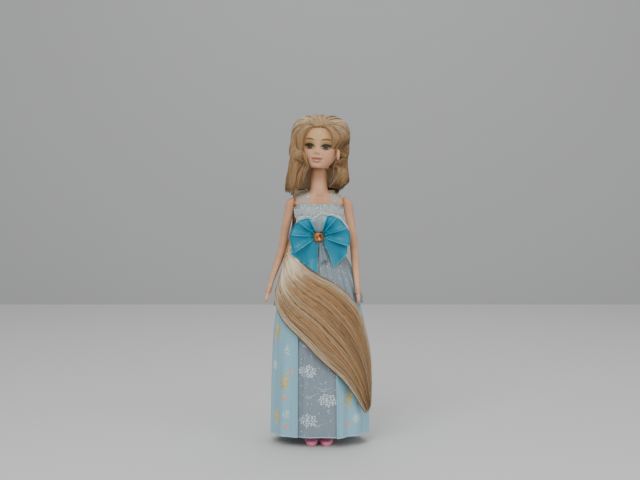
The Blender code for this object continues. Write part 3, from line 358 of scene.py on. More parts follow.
def thicken(piece: Piece, thickness: float, offset: float = 0) -> Piece:
    """Gives a sheet its thickness.

    Args:
        piece: The sheet.
        thickness: Its thickness.
        offset: Where it lies in its thickness, from -1 for the outside to 1 for the inside.

    Returns:
        The sheet.
    """
    wall = piece.modifiers.new("wall", "SOLIDIFY")
    wall.thickness = thickness
    wall.offset = offset
    wall.use_even_offset = True
    return apply_modifiers(piece)


def dress(piece: Piece, material: Material, slot: str = "") -> Piece:
    """Gives a piece its one material.

    Args:
        piece: The piece.
        material: The material.
        slot: The name of the real material in the record, if it has one of its own; not used.

    Returns:
        The piece.
    """
    piece.data.materials.clear()
    piece.data.materials.append(material)
    return piece


def cord_ring(name: str, points: Iterable[Vector], radius: float, closed: bool = False, sides: int = 2) -> Piece:
    """Makes a thin piping, hem or thread.

    Args:
        name: The piece's name.
        points: The points that it runs through.
        radius: Half its thickness.
        closed: Whether its ends meet.
        sides: How finely it is rounded.

    Returns:
        The piece, as a mesh.
    """
    curve = bpy.data.curves.new(name, "CURVE")
    curve.dimensions = "3D"
    curve.bevel_depth = radius
    curve.bevel_resolution = sides
    curve.use_fill_caps = True
    line = list(points)
    spline = curve.splines.new("POLY")
    spline.points.add(len(line) - 1)
    for point, place in zip(spline.points, line):
        point.co = (*place, 1)
    spline.use_cyclic_u = closed
    select_only(add_object(name, curve))
    bpy.ops.object.convert(target="MESH")
    return smooth(named(name))


def float_attribute(piece: Piece, name: str, values: Iterable[float]) -> None:
    """Stores one number for each point of a piece."""
    made = piece.data.attributes.get(name) or piece.data.attributes.new(name, "FLOAT", "POINT")
    made.data.foreach_set("value", list(values))


def node_copy(node: str, name: str) -> Piece:
    """A merged copy of a solid's mesh, free of its body.

    Args:
        node: The solid's node.
        name: The copy's name.

    Returns:
        The copy.
    """
    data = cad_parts[node].data.copy()
    data.name = name
    return merge(add_object(name, data), 1e-5)


def remeshed(node: str, name: str, voxel: float, passes: int) -> Piece:
    """A fine, even and softened copy of a solid.

    Args:
        node: The solid's node.
        name: The piece's name.
        voxel: Size of the new faces, in metres.
        passes: Number of softening passes.

    Returns:
        The piece, which stands for the node.
    """
    made = node_copy(node, name)
    fine = made.modifiers.new("fine", "REMESH")
    fine.mode = "VOXEL"
    fine.voxel_size = voxel
    soft = made.modifiers.new("soft", "SMOOTH")
    soft.factor = 0.5
    soft.iterations = passes
    apply_modifiers(made)
    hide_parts(node)
    return smooth(made)


def declare_sheet(piece: Piece, width: float, held: Held, *rests_on: str) -> Piece:
    """Returns a sheet of cloth unchanged; nothing is declared for it.

    Args:
        piece: The sheet.
        width: Its flat width; not used.
        held: How it is held; not used.
        rests_on: The pieces that it rests on; not used.

    Returns:
        The sheet.
    """
    return piece


@dataclass
class Cloth:
    """A piece of cloth, cut flat and laid on a surface.

    Attributes:
        name: Its name.
        grid: Faces along u and along v.
        flat: Width and length of its map, in metres.
        thickness: Its thickness.
        material: Its finish.
        slot: Its real material in the record, if it has one of its own.
        node: The solid that it stands for, if there is one.
        wrap: Whether it closes round the doll.
        offset: Where it lies in its thickness.
    """

    name: str
    grid: tuple[int, int]
    flat: tuple[float, float]
    thickness: float
    material: Material
    slot: str = ""
    node: str = ""
    wrap: bool = False
    offset: float = 0

    def lay(self, place: Place) -> Piece:
        """Lays it on a surface.

        Args:
            place: The point of the surface at u and v, each from 0 to 1.

        Returns:
            The piece.
        """
        piece = scale_uv(grid_piece(self.name, *self.grid, place, self.wrap), self.flat)
        thicken(piece, self.thickness, self.offset)
        if not self.wrap:
            face_out(piece)
        if self.node:
            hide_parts(self.node)
        return dress(piece, self.material, self.slot)


# Shader tools


@dataclass
class Nodes:
    """A node tree and short ways to add to it.

    Attributes:
        tree: The tree that nodes are added to.
    """

    tree: Tree

    def fill(self, node: Node, inputs: dict) -> Node:
        """Feeds a node's sockets.

        Args:
            node: The node.
            inputs: Sockets by name or index, each a value or a socket to link from.

        Returns:
            The node.
        """
        for key, value in inputs.items():
            socket = node.inputs[key]
            if isinstance(value, Socket):
                self.tree.links.new(value, socket)
            else:
                socket.default_value = (*value, 1) if socket.type == "RGBA" else value
        return node

    def add(self, kind: str, settings: dict | None = None, inputs: dict | None = None) -> Node:
        """Adds a node.

        Args:
            kind: The node's type.
            settings: Properties of the node by name.
            inputs: Sockets by name or index, each a value or a socket to link from.

        Returns:
            The node.
        """
        node = self.tree.nodes.new(kind)
        for key, value in (settings or {}).items():
            setattr(node, key, value)
        return self.fill(node, inputs or {})

    def math(self, operation: str, a: object, b: object = 0.0, clamped: bool = False) -> Socket:
        """The result of a Math node."""
        node = self.add("ShaderNodeMath", {"operation": operation, "use_clamp": clamped}, {0: a, 1: b})
        return node.outputs[0]

    def times(self, a: object, b: object) -> Socket:
        """The product of two values."""
        return self.math("MULTIPLY", a, b)

    def plus(self, a: object, b: object, clamped: bool = False) -> Socket:
        """The sum of two values."""
        return self.math("ADD", a, b, clamped)

    def minus(self, a: object, b: object, clamped: bool = False) -> Socket:
        """The difference of two values."""
        return self.math("SUBTRACT", a, b, clamped)

    def mix(self, factor: object, a: object, b: object) -> Socket:
        """The colour of a Mix node."""
        return self.add("ShaderNodeMix", {"data_type": "RGBA"}, {0: factor, 6: a, 7: b}).outputs[2]

    def span(self, value: object, start: object, end: object, low: float = 0.0, high: float = 1.0) -> Socket:
        """A value mapped smoothly from one range to another."""
        inputs = {0: value, 1: start, 2: end, 3: low, 4: high}
        return self.add("ShaderNodeMapRange", {"interpolation_type": "SMOOTHSTEP"}, inputs).outputs[0]

    def noise(self, vector: object, scale: object, detail: float = 2.0, roughness: float = 0.5) -> Socket:
        """The value of a Noise node."""
        inputs = {"Vector": vector, "Scale": scale, "Detail": detail, "Roughness": roughness}
        return self.add("ShaderNodeTexNoise", None, inputs).outputs["Fac"]

    def scaled(self, vector: object, scale: Row) -> Socket:
        """A vector with its parts scaled."""
        return self.add("ShaderNodeMapping", None, {"Vector": vector, "Scale": scale}).outputs[0]

    def parts(self, vector: object) -> Sequence[Socket]:
        """The three parts of a vector or a colour."""
        return self.add("ShaderNodeSeparateXYZ", None, {0: vector}).outputs

    def bump(self, height: object, strength: float, distance: float) -> Socket:
        """The normal of a Bump node, whose distance is in metres."""
        inputs = {"Height": height, "Strength": strength, "Distance": distance}
        return self.add("ShaderNodeBump", None, inputs).outputs["Normal"]

    def uv(self, name: str = "UVMap") -> Socket:
        """The UV map of that name."""
        return self.add("ShaderNodeUVMap", {"uv_map": name}).outputs[0]

    def place(self) -> Socket:
        """Object coordinates."""
        return self.add("ShaderNodeTexCoord").outputs["Object"]

    def attribute(self, name: str) -> Socket:
        """A number stored on the mesh."""
        return self.add("ShaderNodeAttribute", {"attribute_name": name}).outputs["Fac"]

    def group(self, tree: Tree, inputs: dict) -> Sequence[Socket]:
        """The outputs of a node group."""
        return self.add("ShaderNodeGroup", {"node_tree": tree}, inputs).outputs


def new_group(name: str, inputs: dict[str, object], outputs: Sequence[str]) -> tuple[Nodes, Sequence[Socket], Node]:
    """Starts a node group.

    Args:
        name: The group's name.
        inputs: Input sockets by name: a number for a value, or None for a vector.
        outputs: Names of the output values.

    Returns:
        The group's nodes, its inputs to link from, and its output node.
    """
    tree = bpy.data.node_groups.new(name, "ShaderNodeTree")
    for key, value in inputs.items():
        kind = "NodeSocketVector" if value is None else "NodeSocketFloat"
        socket = tree.interface.new_socket(key, in_out="INPUT", socket_type=kind)
        if value is not None:
            socket.default_value = value
    for key in outputs:
        tree.interface.new_socket(key, in_out="OUTPUT", socket_type="NodeSocketFloat")
    nodes = Nodes(tree)
    return nodes, nodes.add("NodeGroupInput").outputs, nodes.add("NodeGroupOutput")


class Groups:
    """The node groups that more than one finish uses, each built once."""

    def __init__(self) -> None:
        """Builds all the groups."""
        self.painted_oval = self._painted_oval()
        self.weave = self._weave()
        self.strands = self._strands()
        self.specks = self._specks()
        self.mottle = self._mottle()

    def _painted_oval(self) -> Tree:
        """A soft-edged oval of paint, turned and bent, on a flat map in millimetres.

        Returns:
            The group.
        """
        inputs = {
            "Map": None, "Centre X": 0.0, "Centre Z": 0.0, "Half Width": 1.0, "Half Height": 1.0,
            "Turn": 0.0, "Bend": 0.0, "Softness": 0.1,
        }
        n, given, out = new_group("painted_oval", inputs, ["Mask"])
        part = n.parts(given["Map"])
        x = n.minus(part[0], given["Centre X"])
        z = n.minus(part[1], given["Centre Z"])
        cos = n.math("COSINE", given["Turn"])
        sin = n.math("SINE", given["Turn"])
        along = n.plus(n.times(x, cos), n.times(z, sin))
        across = n.minus(n.times(z, cos), n.times(x, sin))
        across = n.minus(across, n.times(n.times(along, along), given["Bend"]))
        wide = n.math("DIVIDE", along, given["Half Width"])
        high = n.math("DIVIDE", across, given["Half Height"])
        far = n.math("SQRT", n.plus(n.times(wide, wide), n.times(high, high)))
        inner, outer = n.minus(1.0, given["Softness"]), n.plus(1.0, given["Softness"])
        n.fill(out, {"Mask": n.span(far, inner, outer, 1.0, 0.0)})
        return n.tree

    def _weave(self) -> Tree:
        """Crossing threads on a map in metres.

        Returns:
            The group.
        """
        inputs = {"Map": None, "Threads": 4000.0, "Slub": 0.3}
        n, given, out = new_group("crossing_threads", inputs, ["Height", "Tone"])
        part = n.parts(given["Map"])
        turn = n.times(given["Threads"], math.tau)
        warp, weft = (n.math("ABSOLUTE", n.math("SINE", n.times(part[i], turn))) for i in (0, 1))
        slub = n.noise(n.scaled(given["Map"], (2600, 120, 1)), 1, 3)
        height = n.plus(n.math("MAXIMUM", warp, weft), n.times(slub, given["Slub"]))
        n.fill(out, {"Height": height, "Tone": n.plus(n.times(n.minus(slub, 0.5), given["Slub"]), 0.5)})
        return n.tree

    def _strands(self) -> Tree:
        """Combed strands: across is u and along is v, in metres.

        Returns:
            The group.
        """
        n, given, out = new_group("combed_strands", {"Map": None, "Strands": 5000.0}, ["Height", "Tone"])
        wide = n.add("ShaderNodeVectorMath", {"operation": "SCALE"}, {0: given["Map"], 3: given["Strands"]}).outputs[0]
        fine = n.noise(n.scaled(wide, (1, 0.012, 1)), 1, 3, 0.6)
        broad = n.noise(n.scaled(wide, (0.16, 0.004, 1)), 1)
        n.fill(out, {"Height": fine, "Tone": n.plus(n.times(fine, 0.45), n.times(broad, 0.55))})
        return n.tree

    def _specks(self) -> Tree:
        """Flakes of glitter scattered in cells, with a random tone that the finishes turn into painted sparkle.

        Returns:
            The group.
        """
        inputs = {"Place": None, "Cells": 1500.0, "Amount": 0.4, "Size": 0.35}
        n, given, out = new_group("glitter_specks", inputs, ["Mask", "Tone"])
        cells = n.add(
            "ShaderNodeTexVoronoi", {"feature": "F1"}, {"Vector": given["Place"], "Scale": given["Cells"]}
        ).outputs
        tone = n.parts(cells["Color"])
        near = n.math("LESS_THAN", cells["Distance"], given["Size"])
        chosen = n.math("LESS_THAN", tone[0], given["Amount"])
        n.fill(out, {"Mask": n.times(near, chosen), "Tone": tone[1]})
        return n.tree

    def _mottle(self) -> Tree:
        """Slow and fine unevenness of a moulded or dyed surface.

        Returns:
            The group.
        """
        n, given, out = new_group("soft_mottle", {"Place": None, "Size": 60.0}, ["Broad", "Fine"])
        broad = n.noise(given["Place"], given["Size"])
        fine = n.noise(given["Place"], n.times(given["Size"], 28.0))
        n.fill(out, {"Broad": broad, "Fine": fine})
        return n.tree


GROUPS = Groups()


def start_material(name: str) -> tuple[Material, Nodes, Node]:
    """Starts a material.

    Args:
        name: The material's name.

    Returns:
        The material, its nodes and its Principled shader.
    """
    material = bpy.data.materials.new(name)
    material.use_nodes = True
    return material, Nodes(material.node_tree), material.node_tree.nodes["Principled BSDF"]


# Finishes


@dataclass(frozen=True)
class SkinFinish:
    """Soft satin vinyl, a little translucent.

    Attributes:
        colour: Base colour.
        shade: Colour of its deeper patches.
        painted_chin_shade: Colour of the painted shade under the chin, laid where the number "under" is.
        roughness: How dull it is.
    """

    colour: Colour = (0.61, 0.335, 0.200)
    shade: Colour = (0.54, 0.275, 0.155)
    # painted shade under the chin, mixed in where the number "under" is set
    painted_chin_shade: Colour = (0.33, 0.145, 0.07)
    roughness: float = 0.48

    def fill(self, nodes: Nodes, shader: Node) -> Socket:
        """Sets the shader up as bare vinyl.

        Args:
            nodes: The material's nodes.
            shader: Its Principled shader.

        Returns:
            The vinyl's colour, which paint can be laid over.
        """
        mottle = nodes.group(GROUPS.mottle, {"Place": nodes.place(), "Size": 55.0})
        colour = nodes.mix(nodes.span(mottle["Broad"], 0.35, 0.7), self.colour, self.shade)
        # painted shade under the chin: darkened by the number "under"
        colour = nodes.mix(nodes.times(nodes.attribute("under"), 0.75), colour, self.painted_chin_shade)
        nodes.fill(shader, {
            "Base Color": colour,
            "Roughness": nodes.span(mottle["Broad"], 0.3, 0.7, self.roughness - 0.05, self.roughness + 0.07),
            "Normal": nodes.bump(mottle["Fine"], 0.25, 0.00006),
            "Subsurface Weight": 0.18,
            "Subsurface Radius": (1.0, 0.45, 0.25),
            "Subsurface Scale": 0.002,
            "Specular IOR Level": 0.3,
        })
        return colour

    def make(self, name: str) -> Material:
        """Makes the material.

        Args:
            name: The material's name.

        Returns:
            The material.
        """
        material, nodes, shader = start_material(name)
        self.fill(nodes, shader)
        return material


@dataclass(frozen=True)
class Paint:
    """One soft oval of paint on the face, in millimetres from the chin's middle.

    Attributes:
        x: Sideways.
        z: Height above the chin.
        width: Half its width.
        height: Half its height.
        colour: Its colour.
        weight: How much it covers.
        softness: How wide its edge is, as a share of its size.
        turn: Turn in degrees; mirrored on the other side.
        bend: Sag of its ends, positive with the ends up, in 1/mm.
        paired: Whether it is painted on both sides.
        shift: How far both of a pair lie to the doll's left, as the painted highlights in the eyes do.
    """

    x: float
    z: float
    width: float
    height: float
    colour: Colour
    weight: float = 1.0
    softness: float = 0.3
    turn: float = 0.0
    bend: float = 0.0
    paired: bool = True
    shift: float = 0.0


BROWN = (0.045, 0.024, 0.010)
LASH = (0.016, 0.011, 0.007)
LIP = (0.37, 0.125, 0.09)
FACE_PAINT = (
    Paint(0, 29.0, 17.0, 13.0, (0.57, 0.37, 0.17), 0.65, 0.9, paired=False),
    Paint(10.0, 11.0, 4.8, 3.6, (0.70, 0.30, 0.21), 0.45, 0.9),
    Paint(7.5, 21.4, 4.9, 3.0, (0.24, 0.18, 0.06), 0.72, 0.6, bend=-0.03),
    Paint(7.4, 19.0, 4.5, 2.8, (0.12, 0.08, 0.035), 0.85, 0.4, turn=4),
    Paint(7.3, 18.5, 3.2, 1.4, (0.33, 0.28, 0.21), 0.85, 0.35),
    Paint(7.2, 18.9, 2.5, 2.2, BROWN, 1.0, 0.2),
    Paint(7.2, 18.1, 1.3, 0.8, (0.17, 0.085, 0.03), 0.6, 0.5),
    Paint(7.2, 19.2, 1.15, 1.2, (0.008, 0.006, 0.005), 1.0, 0.15),
    # painted highlight: a pale glint in each iris, both shifted to the doll's left
    Paint(7.2, 19.8, 0.40, 0.40, (0.75, 0.72, 0.66), 0.6, 0.3, shift=0.6),
    Paint(7.3, 20.7, 4.5, 1.15, LASH, 0.95, 0.35, turn=2, bend=-0.05),
    Paint(10.8, 20.2, 1.8, 0.55, LASH, 0.85, 0.4, turn=22),
    Paint(11.0, 19.0, 1.3, 0.42, LASH, 0.7, 0.45, turn=4),
    Paint(7.5, 16.9, 3.5, 0.34, BROWN, 0.75, 0.5, bend=0.06),
    Paint(7.3, 25.8, 4.3, 0.9, (0.125, 0.072, 0.026), 0.9, 0.4, turn=2, bend=-0.055),
    # painted shade in the nostrils and under the nose
    Paint(1.9, 12.2, 0.75, 0.42, (0.28, 0.11, 0.07), 0.6, 0.5, turn=-18),
    Paint(0, 11.6, 1.5, 0.4, (0.42, 0.19, 0.11), 0.4, 0.8, paired=False),
    Paint(1.9, 8.7, 2.9, 0.95, LIP, 0.92, 0.28, turn=-12),
    Paint(0, 8.1, 5.4, 0.85, LIP, 0.92, 0.28, bend=0.012, paired=False),
    Paint(0, 6.5, 3.9, 1.85, (0.43, 0.155, 0.115), 0.92, 0.25, bend=0.03, paired=False),
    # painted highlight on the middle of the lower lip
    Paint(0, 6.6, 1.9, 0.75, (0.72, 0.35, 0.27), 0.6, 0.7, bend=0.03, paired=False),
    Paint(0, 7.85, 5.7, 0.3, (0.20, 0.07, 0.05), 0.85, 0.45, bend=0.015, paired=False),
)


@dataclass(frozen=True)
class FaceFinish:
    """The painted face over vinyl.

    Attributes:
        skin: The vinyl under the paint.
        paints: The ovals of paint, from the lowest layer up; a few are painted highlights and painted shade.
    """

    skin: SkinFinish = SkinFinish()
    paints: tuple[Paint, ...] = FACE_PAINT

    def make(self, name: str) -> Material:
        """Makes the material, which needs the UV map "Face" in millimetres and the number "front".

        Args:
            name: The material's name.

        Returns:
            The material.
        """
        material, nodes, shader = start_material(name)
        colour = self.skin.fill(nodes, shader)
        flat = nodes.uv("Face")
        front = nodes.span(nodes.attribute("front"), 0.3, 0.6)
        for paint in self.paints:
            for side in (-1, 1) if paint.paired else (1,):
                mask = nodes.group(GROUPS.painted_oval, {
                    "Map": flat,
                    "Centre X": side * paint.x + paint.shift,
                    "Centre Z": paint.z,
                    "Half Width": paint.width,
                    "Half Height": paint.height,
                    "Turn": math.radians(paint.turn) * side,
                    "Bend": paint.bend,
                    "Softness": paint.softness,
                })[0]
                colour = nodes.mix(nodes.times(nodes.times(mask, front), paint.weight), colour, paint.colour)
        nodes.fill(shader, {"Base Color": colour})
        return material


@dataclass(frozen=True)
class HairFinish:
    """Silky fibre in strands, its colour painted from shadow to highlight by the number "shade".

    Attributes:
        deep: Colour at shade 0.
        middle: Colour at shade 0.5.
        light: Colour at shade 1.
        alpha: How much it covers.
        strands: Strands in a metre.
    """

    deep: Colour = (0.105, 0.050, 0.020)
    middle: Colour = (0.31, 0.180, 0.082)
    light: Colour = (0.82, 0.69, 0.48)
    alpha: float = 1.0
    strands: float = 5200.0

    def make(self, name: str) -> Material:
        """Makes the material.

        Args:
            name: The material's name.

        Returns:
            The material.
        """
        material, nodes, shader = start_material(name)
        strands = nodes.group(GROUPS.strands, {"Map": nodes.uv(), "Strands": self.strands})
        spread = nodes.times(nodes.minus(strands["Tone"], 0.5), 0.5)
        shade = nodes.plus(nodes.attribute("shade"), spread, True)
        low = nodes.mix(nodes.span(shade, 0.0, 0.5), self.deep, self.middle)
        nodes.fill(shader, {
            "Base Color": nodes.mix(nodes.span(shade, 0.5, 1.0), low, self.light),
            "Roughness": nodes.span(strands["Height"], 0.3, 0.7, 0.36, 0.52),
            "Normal": nodes.bump(strands["Height"], 0.7, 0.00025),
            "Specular IOR Level": 0.18,
            "Sheen Weight": 0.04,
            "Sheen Roughness": 0.4,
            "Alpha": self.alpha,
        })
        return material


@dataclass(frozen=True)
class ClothFinish:
    """Woven cloth: satin, taffeta or organza, plain or with glitter in it.

    Attributes:
        colour: Its colour.
        dark: Colour of its deeper threads.
        roughness: How dull it is.
        threads: Threads in a metre.
        sheen: Weight of its soft edge light.
        alpha: How much it covers; under 1 for sheer cloth.
        glitter: Share of the flakes that show, 0 for plain cloth.
        flake: Colour of the flakes.
        cells: Flakes in a metre.
        weave_depth: Height of its threads.
        gloss: Strength of its reflections.
    """

    colour: Colour
    dark: Colour
    roughness: float = 0.35
    threads: float = 3600.0
    sheen: float = 0.25
    alpha: float = 1.0
    glitter: float = 0.0
    flake: Colour = (0.92, 0.95, 1.0)
    cells: float = 2200.0
    weave_depth: float = 0.00003
    gloss: float = 0.5

    def make(self, name: str) -> Material:
        """Makes the material.

        Args:
            name: The material's name.

        Returns:
            The material.
        """
        material, nodes, shader = start_material(name)
        weave = nodes.group(GROUPS.weave, {"Map": nodes.uv(), "Threads": self.threads})
        colour = nodes.mix(nodes.span(weave["Tone"], 0.35, 0.65), self.dark, self.colour)
        rough = nodes.span(weave["Tone"], 0.3, 0.7, self.roughness + 0.06, self.roughness - 0.04)
        height = weave["Height"]
        alpha = self.alpha
        if self.glitter:
            flakes = {"Place": nodes.place(), "Cells": self.cells, "Amount": self.glitter, "Size": 0.42}
            specks = nodes.group(GROUPS.specks, flakes)
            # painted sparkle: each flake painted at a random brightness between the dark and the flake colour
            colour = nodes.mix(specks["Mask"], colour, nodes.mix(specks["Tone"], self.dark, self.flake))
            rough = nodes.minus(rough, nodes.times(specks["Mask"], 0.12), True)
            height = nodes.plus(height, nodes.times(specks["Mask"], 3.0))
            alpha = nodes.math("MAXIMUM", specks["Mask"], self.alpha)
            nodes.fill(shader, {"Metallic": nodes.times(specks["Mask"], 0.55)})
        nodes.fill(shader, {
            "Base Color": colour,
            "Roughness": rough,
            "Normal": nodes.bump(height, 0.5, self.weave_depth),
            "Alpha": alpha,
            "Specular IOR Level": self.gloss,
            "Sheen Weight": self.sheen,
            "Sheen Roughness": 0.35,
        })
        return material


@dataclass(frozen=True)
class GlitterFinish:
    """Loose glitter set in clear glue.

    Attributes:
        bright: Colour of the flakes painted as catching the light, a painted sparkle.
        dull: Colour of the others.
        metallic: How metallic they are.
        cells: Flakes in a metre.
    """

    bright: Colour
    dull: Colour
    metallic: float = 0.5
    cells: float = 2600.0

    def make(self, name: str) -> Material:
        """Makes the material.

        Args:
            name: The material's name.

        Returns:
            The material.
        """
        material, nodes, shader = start_material(name)
        flakes = {"Place": nodes.place(), "Cells": self.cells, "Amount": 1.0, "Size": 0.6}
        tone = nodes.group(GROUPS.specks, flakes)["Tone"]
        # painted sparkle: each flake painted at a random brightness between dull and bright
        nodes.fill(shader, {
            "Base Color": nodes.mix(nodes.span(tone, 0.25, 0.85), self.dull, self.bright),
            "Roughness": nodes.span(tone, 0, 1, 0.42, 0.2),
            "Normal": nodes.bump(tone, 0.8, 0.00012),
            "Metallic": self.metallic,
        })
        return material


@dataclass(frozen=True)
class GlossFinish:
    """Moulded or plated surface: glossy vinyl, plated gold or plain nylon.

    Attributes:
        colour: Its colour.
        worn: Colour of its slight unevenness.
        roughness: How dull it is.
        metallic: How metallic it is.
        coat: Weight of a clear layer over it.
    """

    colour: Colour
    worn: Colour
    roughness: float = 0.2
    metallic: float = 0.0
    coat: float = 0.0

    def make(self, name: str) -> Material:
        """Makes the material.

        Args:
            name: The material's name.

        Returns:
            The material.
        """
        material, nodes, shader = start_material(name)
        mottle = nodes.group(GROUPS.mottle, {"Place": nodes.place(), "Size": 180.0})
        nodes.fill(shader, {
            "Base Color": nodes.mix(nodes.span(mottle["Broad"], 0.4, 0.7), self.colour, self.worn),
            "Roughness": nodes.span(mottle["Broad"], 0.3, 0.7, self.roughness - 0.03, self.roughness + 0.06),
            "Normal": nodes.bump(mottle["Fine"], 0.2, 0.00003),
            "Metallic": self.metallic,
            "Coat Weight": self.coat,
            "Coat Roughness": 0.08,
        })
        return material


@dataclass(frozen=True)
class StoneFinish:
    """Clear coloured stone, with light and shade painted on its facets.

    Attributes:
        colour: Its colour.
        deep: Colour of its facets painted in shade.
        spark: Colour of its facets painted as lit, and of its painted spark.
    """

    colour: Colour = (0.36, 0.115, 0.02)
    deep: Colour = (0.055, 0.022, 0.008)
    spark: Colour = (0.90, 0.42, 0.15)

    def make(self, name: str) -> Material:
        """Makes the material, which needs the number "facet".

        Args:
            name: The material's name.

        Returns:
            The material.
        """
        material, nodes, shader = start_material(name)
        cloudy = nodes.noise(nodes.place(), 420)
        value = nodes.plus(nodes.attribute("facet"), nodes.times(nodes.minus(cloudy, 0.5), 0.5), True)
        low = nodes.mix(nodes.span(value, 0.0, 0.5), self.deep, self.colour)
        nodes.fill(shader, {
            "Base Color": nodes.mix(nodes.span(value, 0.6, 1.0), low, self.spark),
            "Roughness": 0.14,
            "Coat Weight": 0.1,
            "Coat Roughness": 0.03,
        })
        return material


class Finishes:
    """Every finish of the doll, made once."""

    def __init__(self) -> None:
        """Makes the materials."""
        cloth, gloss, glitter = ClothFinish, GlossFinish, GlitterFinish
        self.skin = SkinFinish().make("skin_vinyl_soft")
        self.face = FaceFinish().make("painted_face")
        self.hair = HairFinish().make("combed_fibre")
        self.wisp = HairFinish(middle=(0.55, 0.40, 0.24), light=(0.85, 0.74, 0.56), alpha=0.5).make("loose_fibre")
        self.satin = cloth((0.27, 0.50, 0.61), (0.22, 0.43, 0.54), 0.30, sheen=0.15).make("light_blue_satin")
        self.under = cloth((0.32, 0.42, 0.49), (0.26, 0.36, 0.43), 0.36).make("grey_blue_satin")
        self.hem = cloth((0.38, 0.59, 0.68), (0.30, 0.52, 0.62), 0.34).make("pale_hem")
        self.sheer = cloth(
            (0.60, 0.66, 0.64), (0.46, 0.53, 0.52), 0.42, alpha=0.42, glitter=0.03, cells=900
        ).make("white_organza")
        self.strap = cloth(
            (0.58, 0.64, 0.58), (0.42, 0.49, 0.45), 0.42, alpha=0.26, glitter=0.04, cells=900
        ).make("strap_organza")
        self.grey_sheer = cloth(
            (0.33, 0.40, 0.46), (0.25, 0.33, 0.39), 0.40, alpha=0.5, glitter=0.05, cells=900
        ).make("grey_blue_organza")
        self.frill = cloth(
            (0.28, 0.35, 0.39), (0.17, 0.23, 0.27), 0.40, alpha=0.75, glitter=0.11, cells=1300
        ).make("glitter_organza")
        self.lace = cloth(
            (0.40, 0.44, 0.43), (0.15, 0.18, 0.18), 0.45, 2200, glitter=0.42, cells=1250, weave_depth=0.00012
        ).make("silver_glitter_lace")
        self.glitter = cloth(
            (0.42, 0.55, 0.64), (0.31, 0.44, 0.54), 0.42, glitter=0.45, cells=1700, weave_depth=0.00006
        ).make("pale_blue_glitter_cloth")
        self.ribbon = cloth(
            (0.003, 0.235, 0.355), (0.002, 0.165, 0.26), 0.36, 4200, sheen=0.0, gloss=0.28
        ).make("turquoise_ribbon")
        # lighter turquoise cords along the ribbon's edges and fold crests: painted highlights
        self.ribbon_edge = cloth((0.045, 0.43, 0.57), (0.03, 0.36, 0.50), 0.28, 4200).make("turquoise_edge")
        self.white_edge = cloth((0.74, 0.84, 0.88), (0.62, 0.74, 0.80), 0.38, glitter=0.2).make("white_edge")
        self.tape = cloth((0.72, 0.72, 0.72), (0.55, 0.55, 0.55), 0.7, 2600, weave_depth=0.0001).make("woven_tape")
        self.gold = gloss((0.30, 0.18, 0.055), (0.11, 0.065, 0.02), 0.34, 1.0).make("plated_gold")
        self.pink = gloss((0.92, 0.25, 0.40), (0.84, 0.21, 0.35), 0.18, coat=0.6).make("hot_pink_gloss")
        self.nylon = gloss((0.74, 0.72, 0.68), (0.66, 0.64, 0.60), 0.45).make("plain_nylon")
        self.stone = StoneFinish().make("amber_stone")
        self.gold_glitter = glitter((0.95, 0.84, 0.44), (0.42, 0.38, 0.15), 0.4).make("gold_glitter")
        self.silver_glitter = glitter((0.95, 0.98, 1.0), (0.42, 0.58, 0.68), 0.25).make("silver_glitter")
        self.petal = glitter((0.86, 0.42, 0.33), (0.66, 0.26, 0.22), 0.0, 4000).make("coral_print")
        self.white_print = glitter((0.85, 0.92, 0.95), (0.66, 0.76, 0.82), 0.1, 4000).make("white_print")


# Body


@dataclass
class Maker:
    """What the classes that build the doll have in common.

    Attributes:
        finishes: The finishes.
    """

    finishes: Finishes


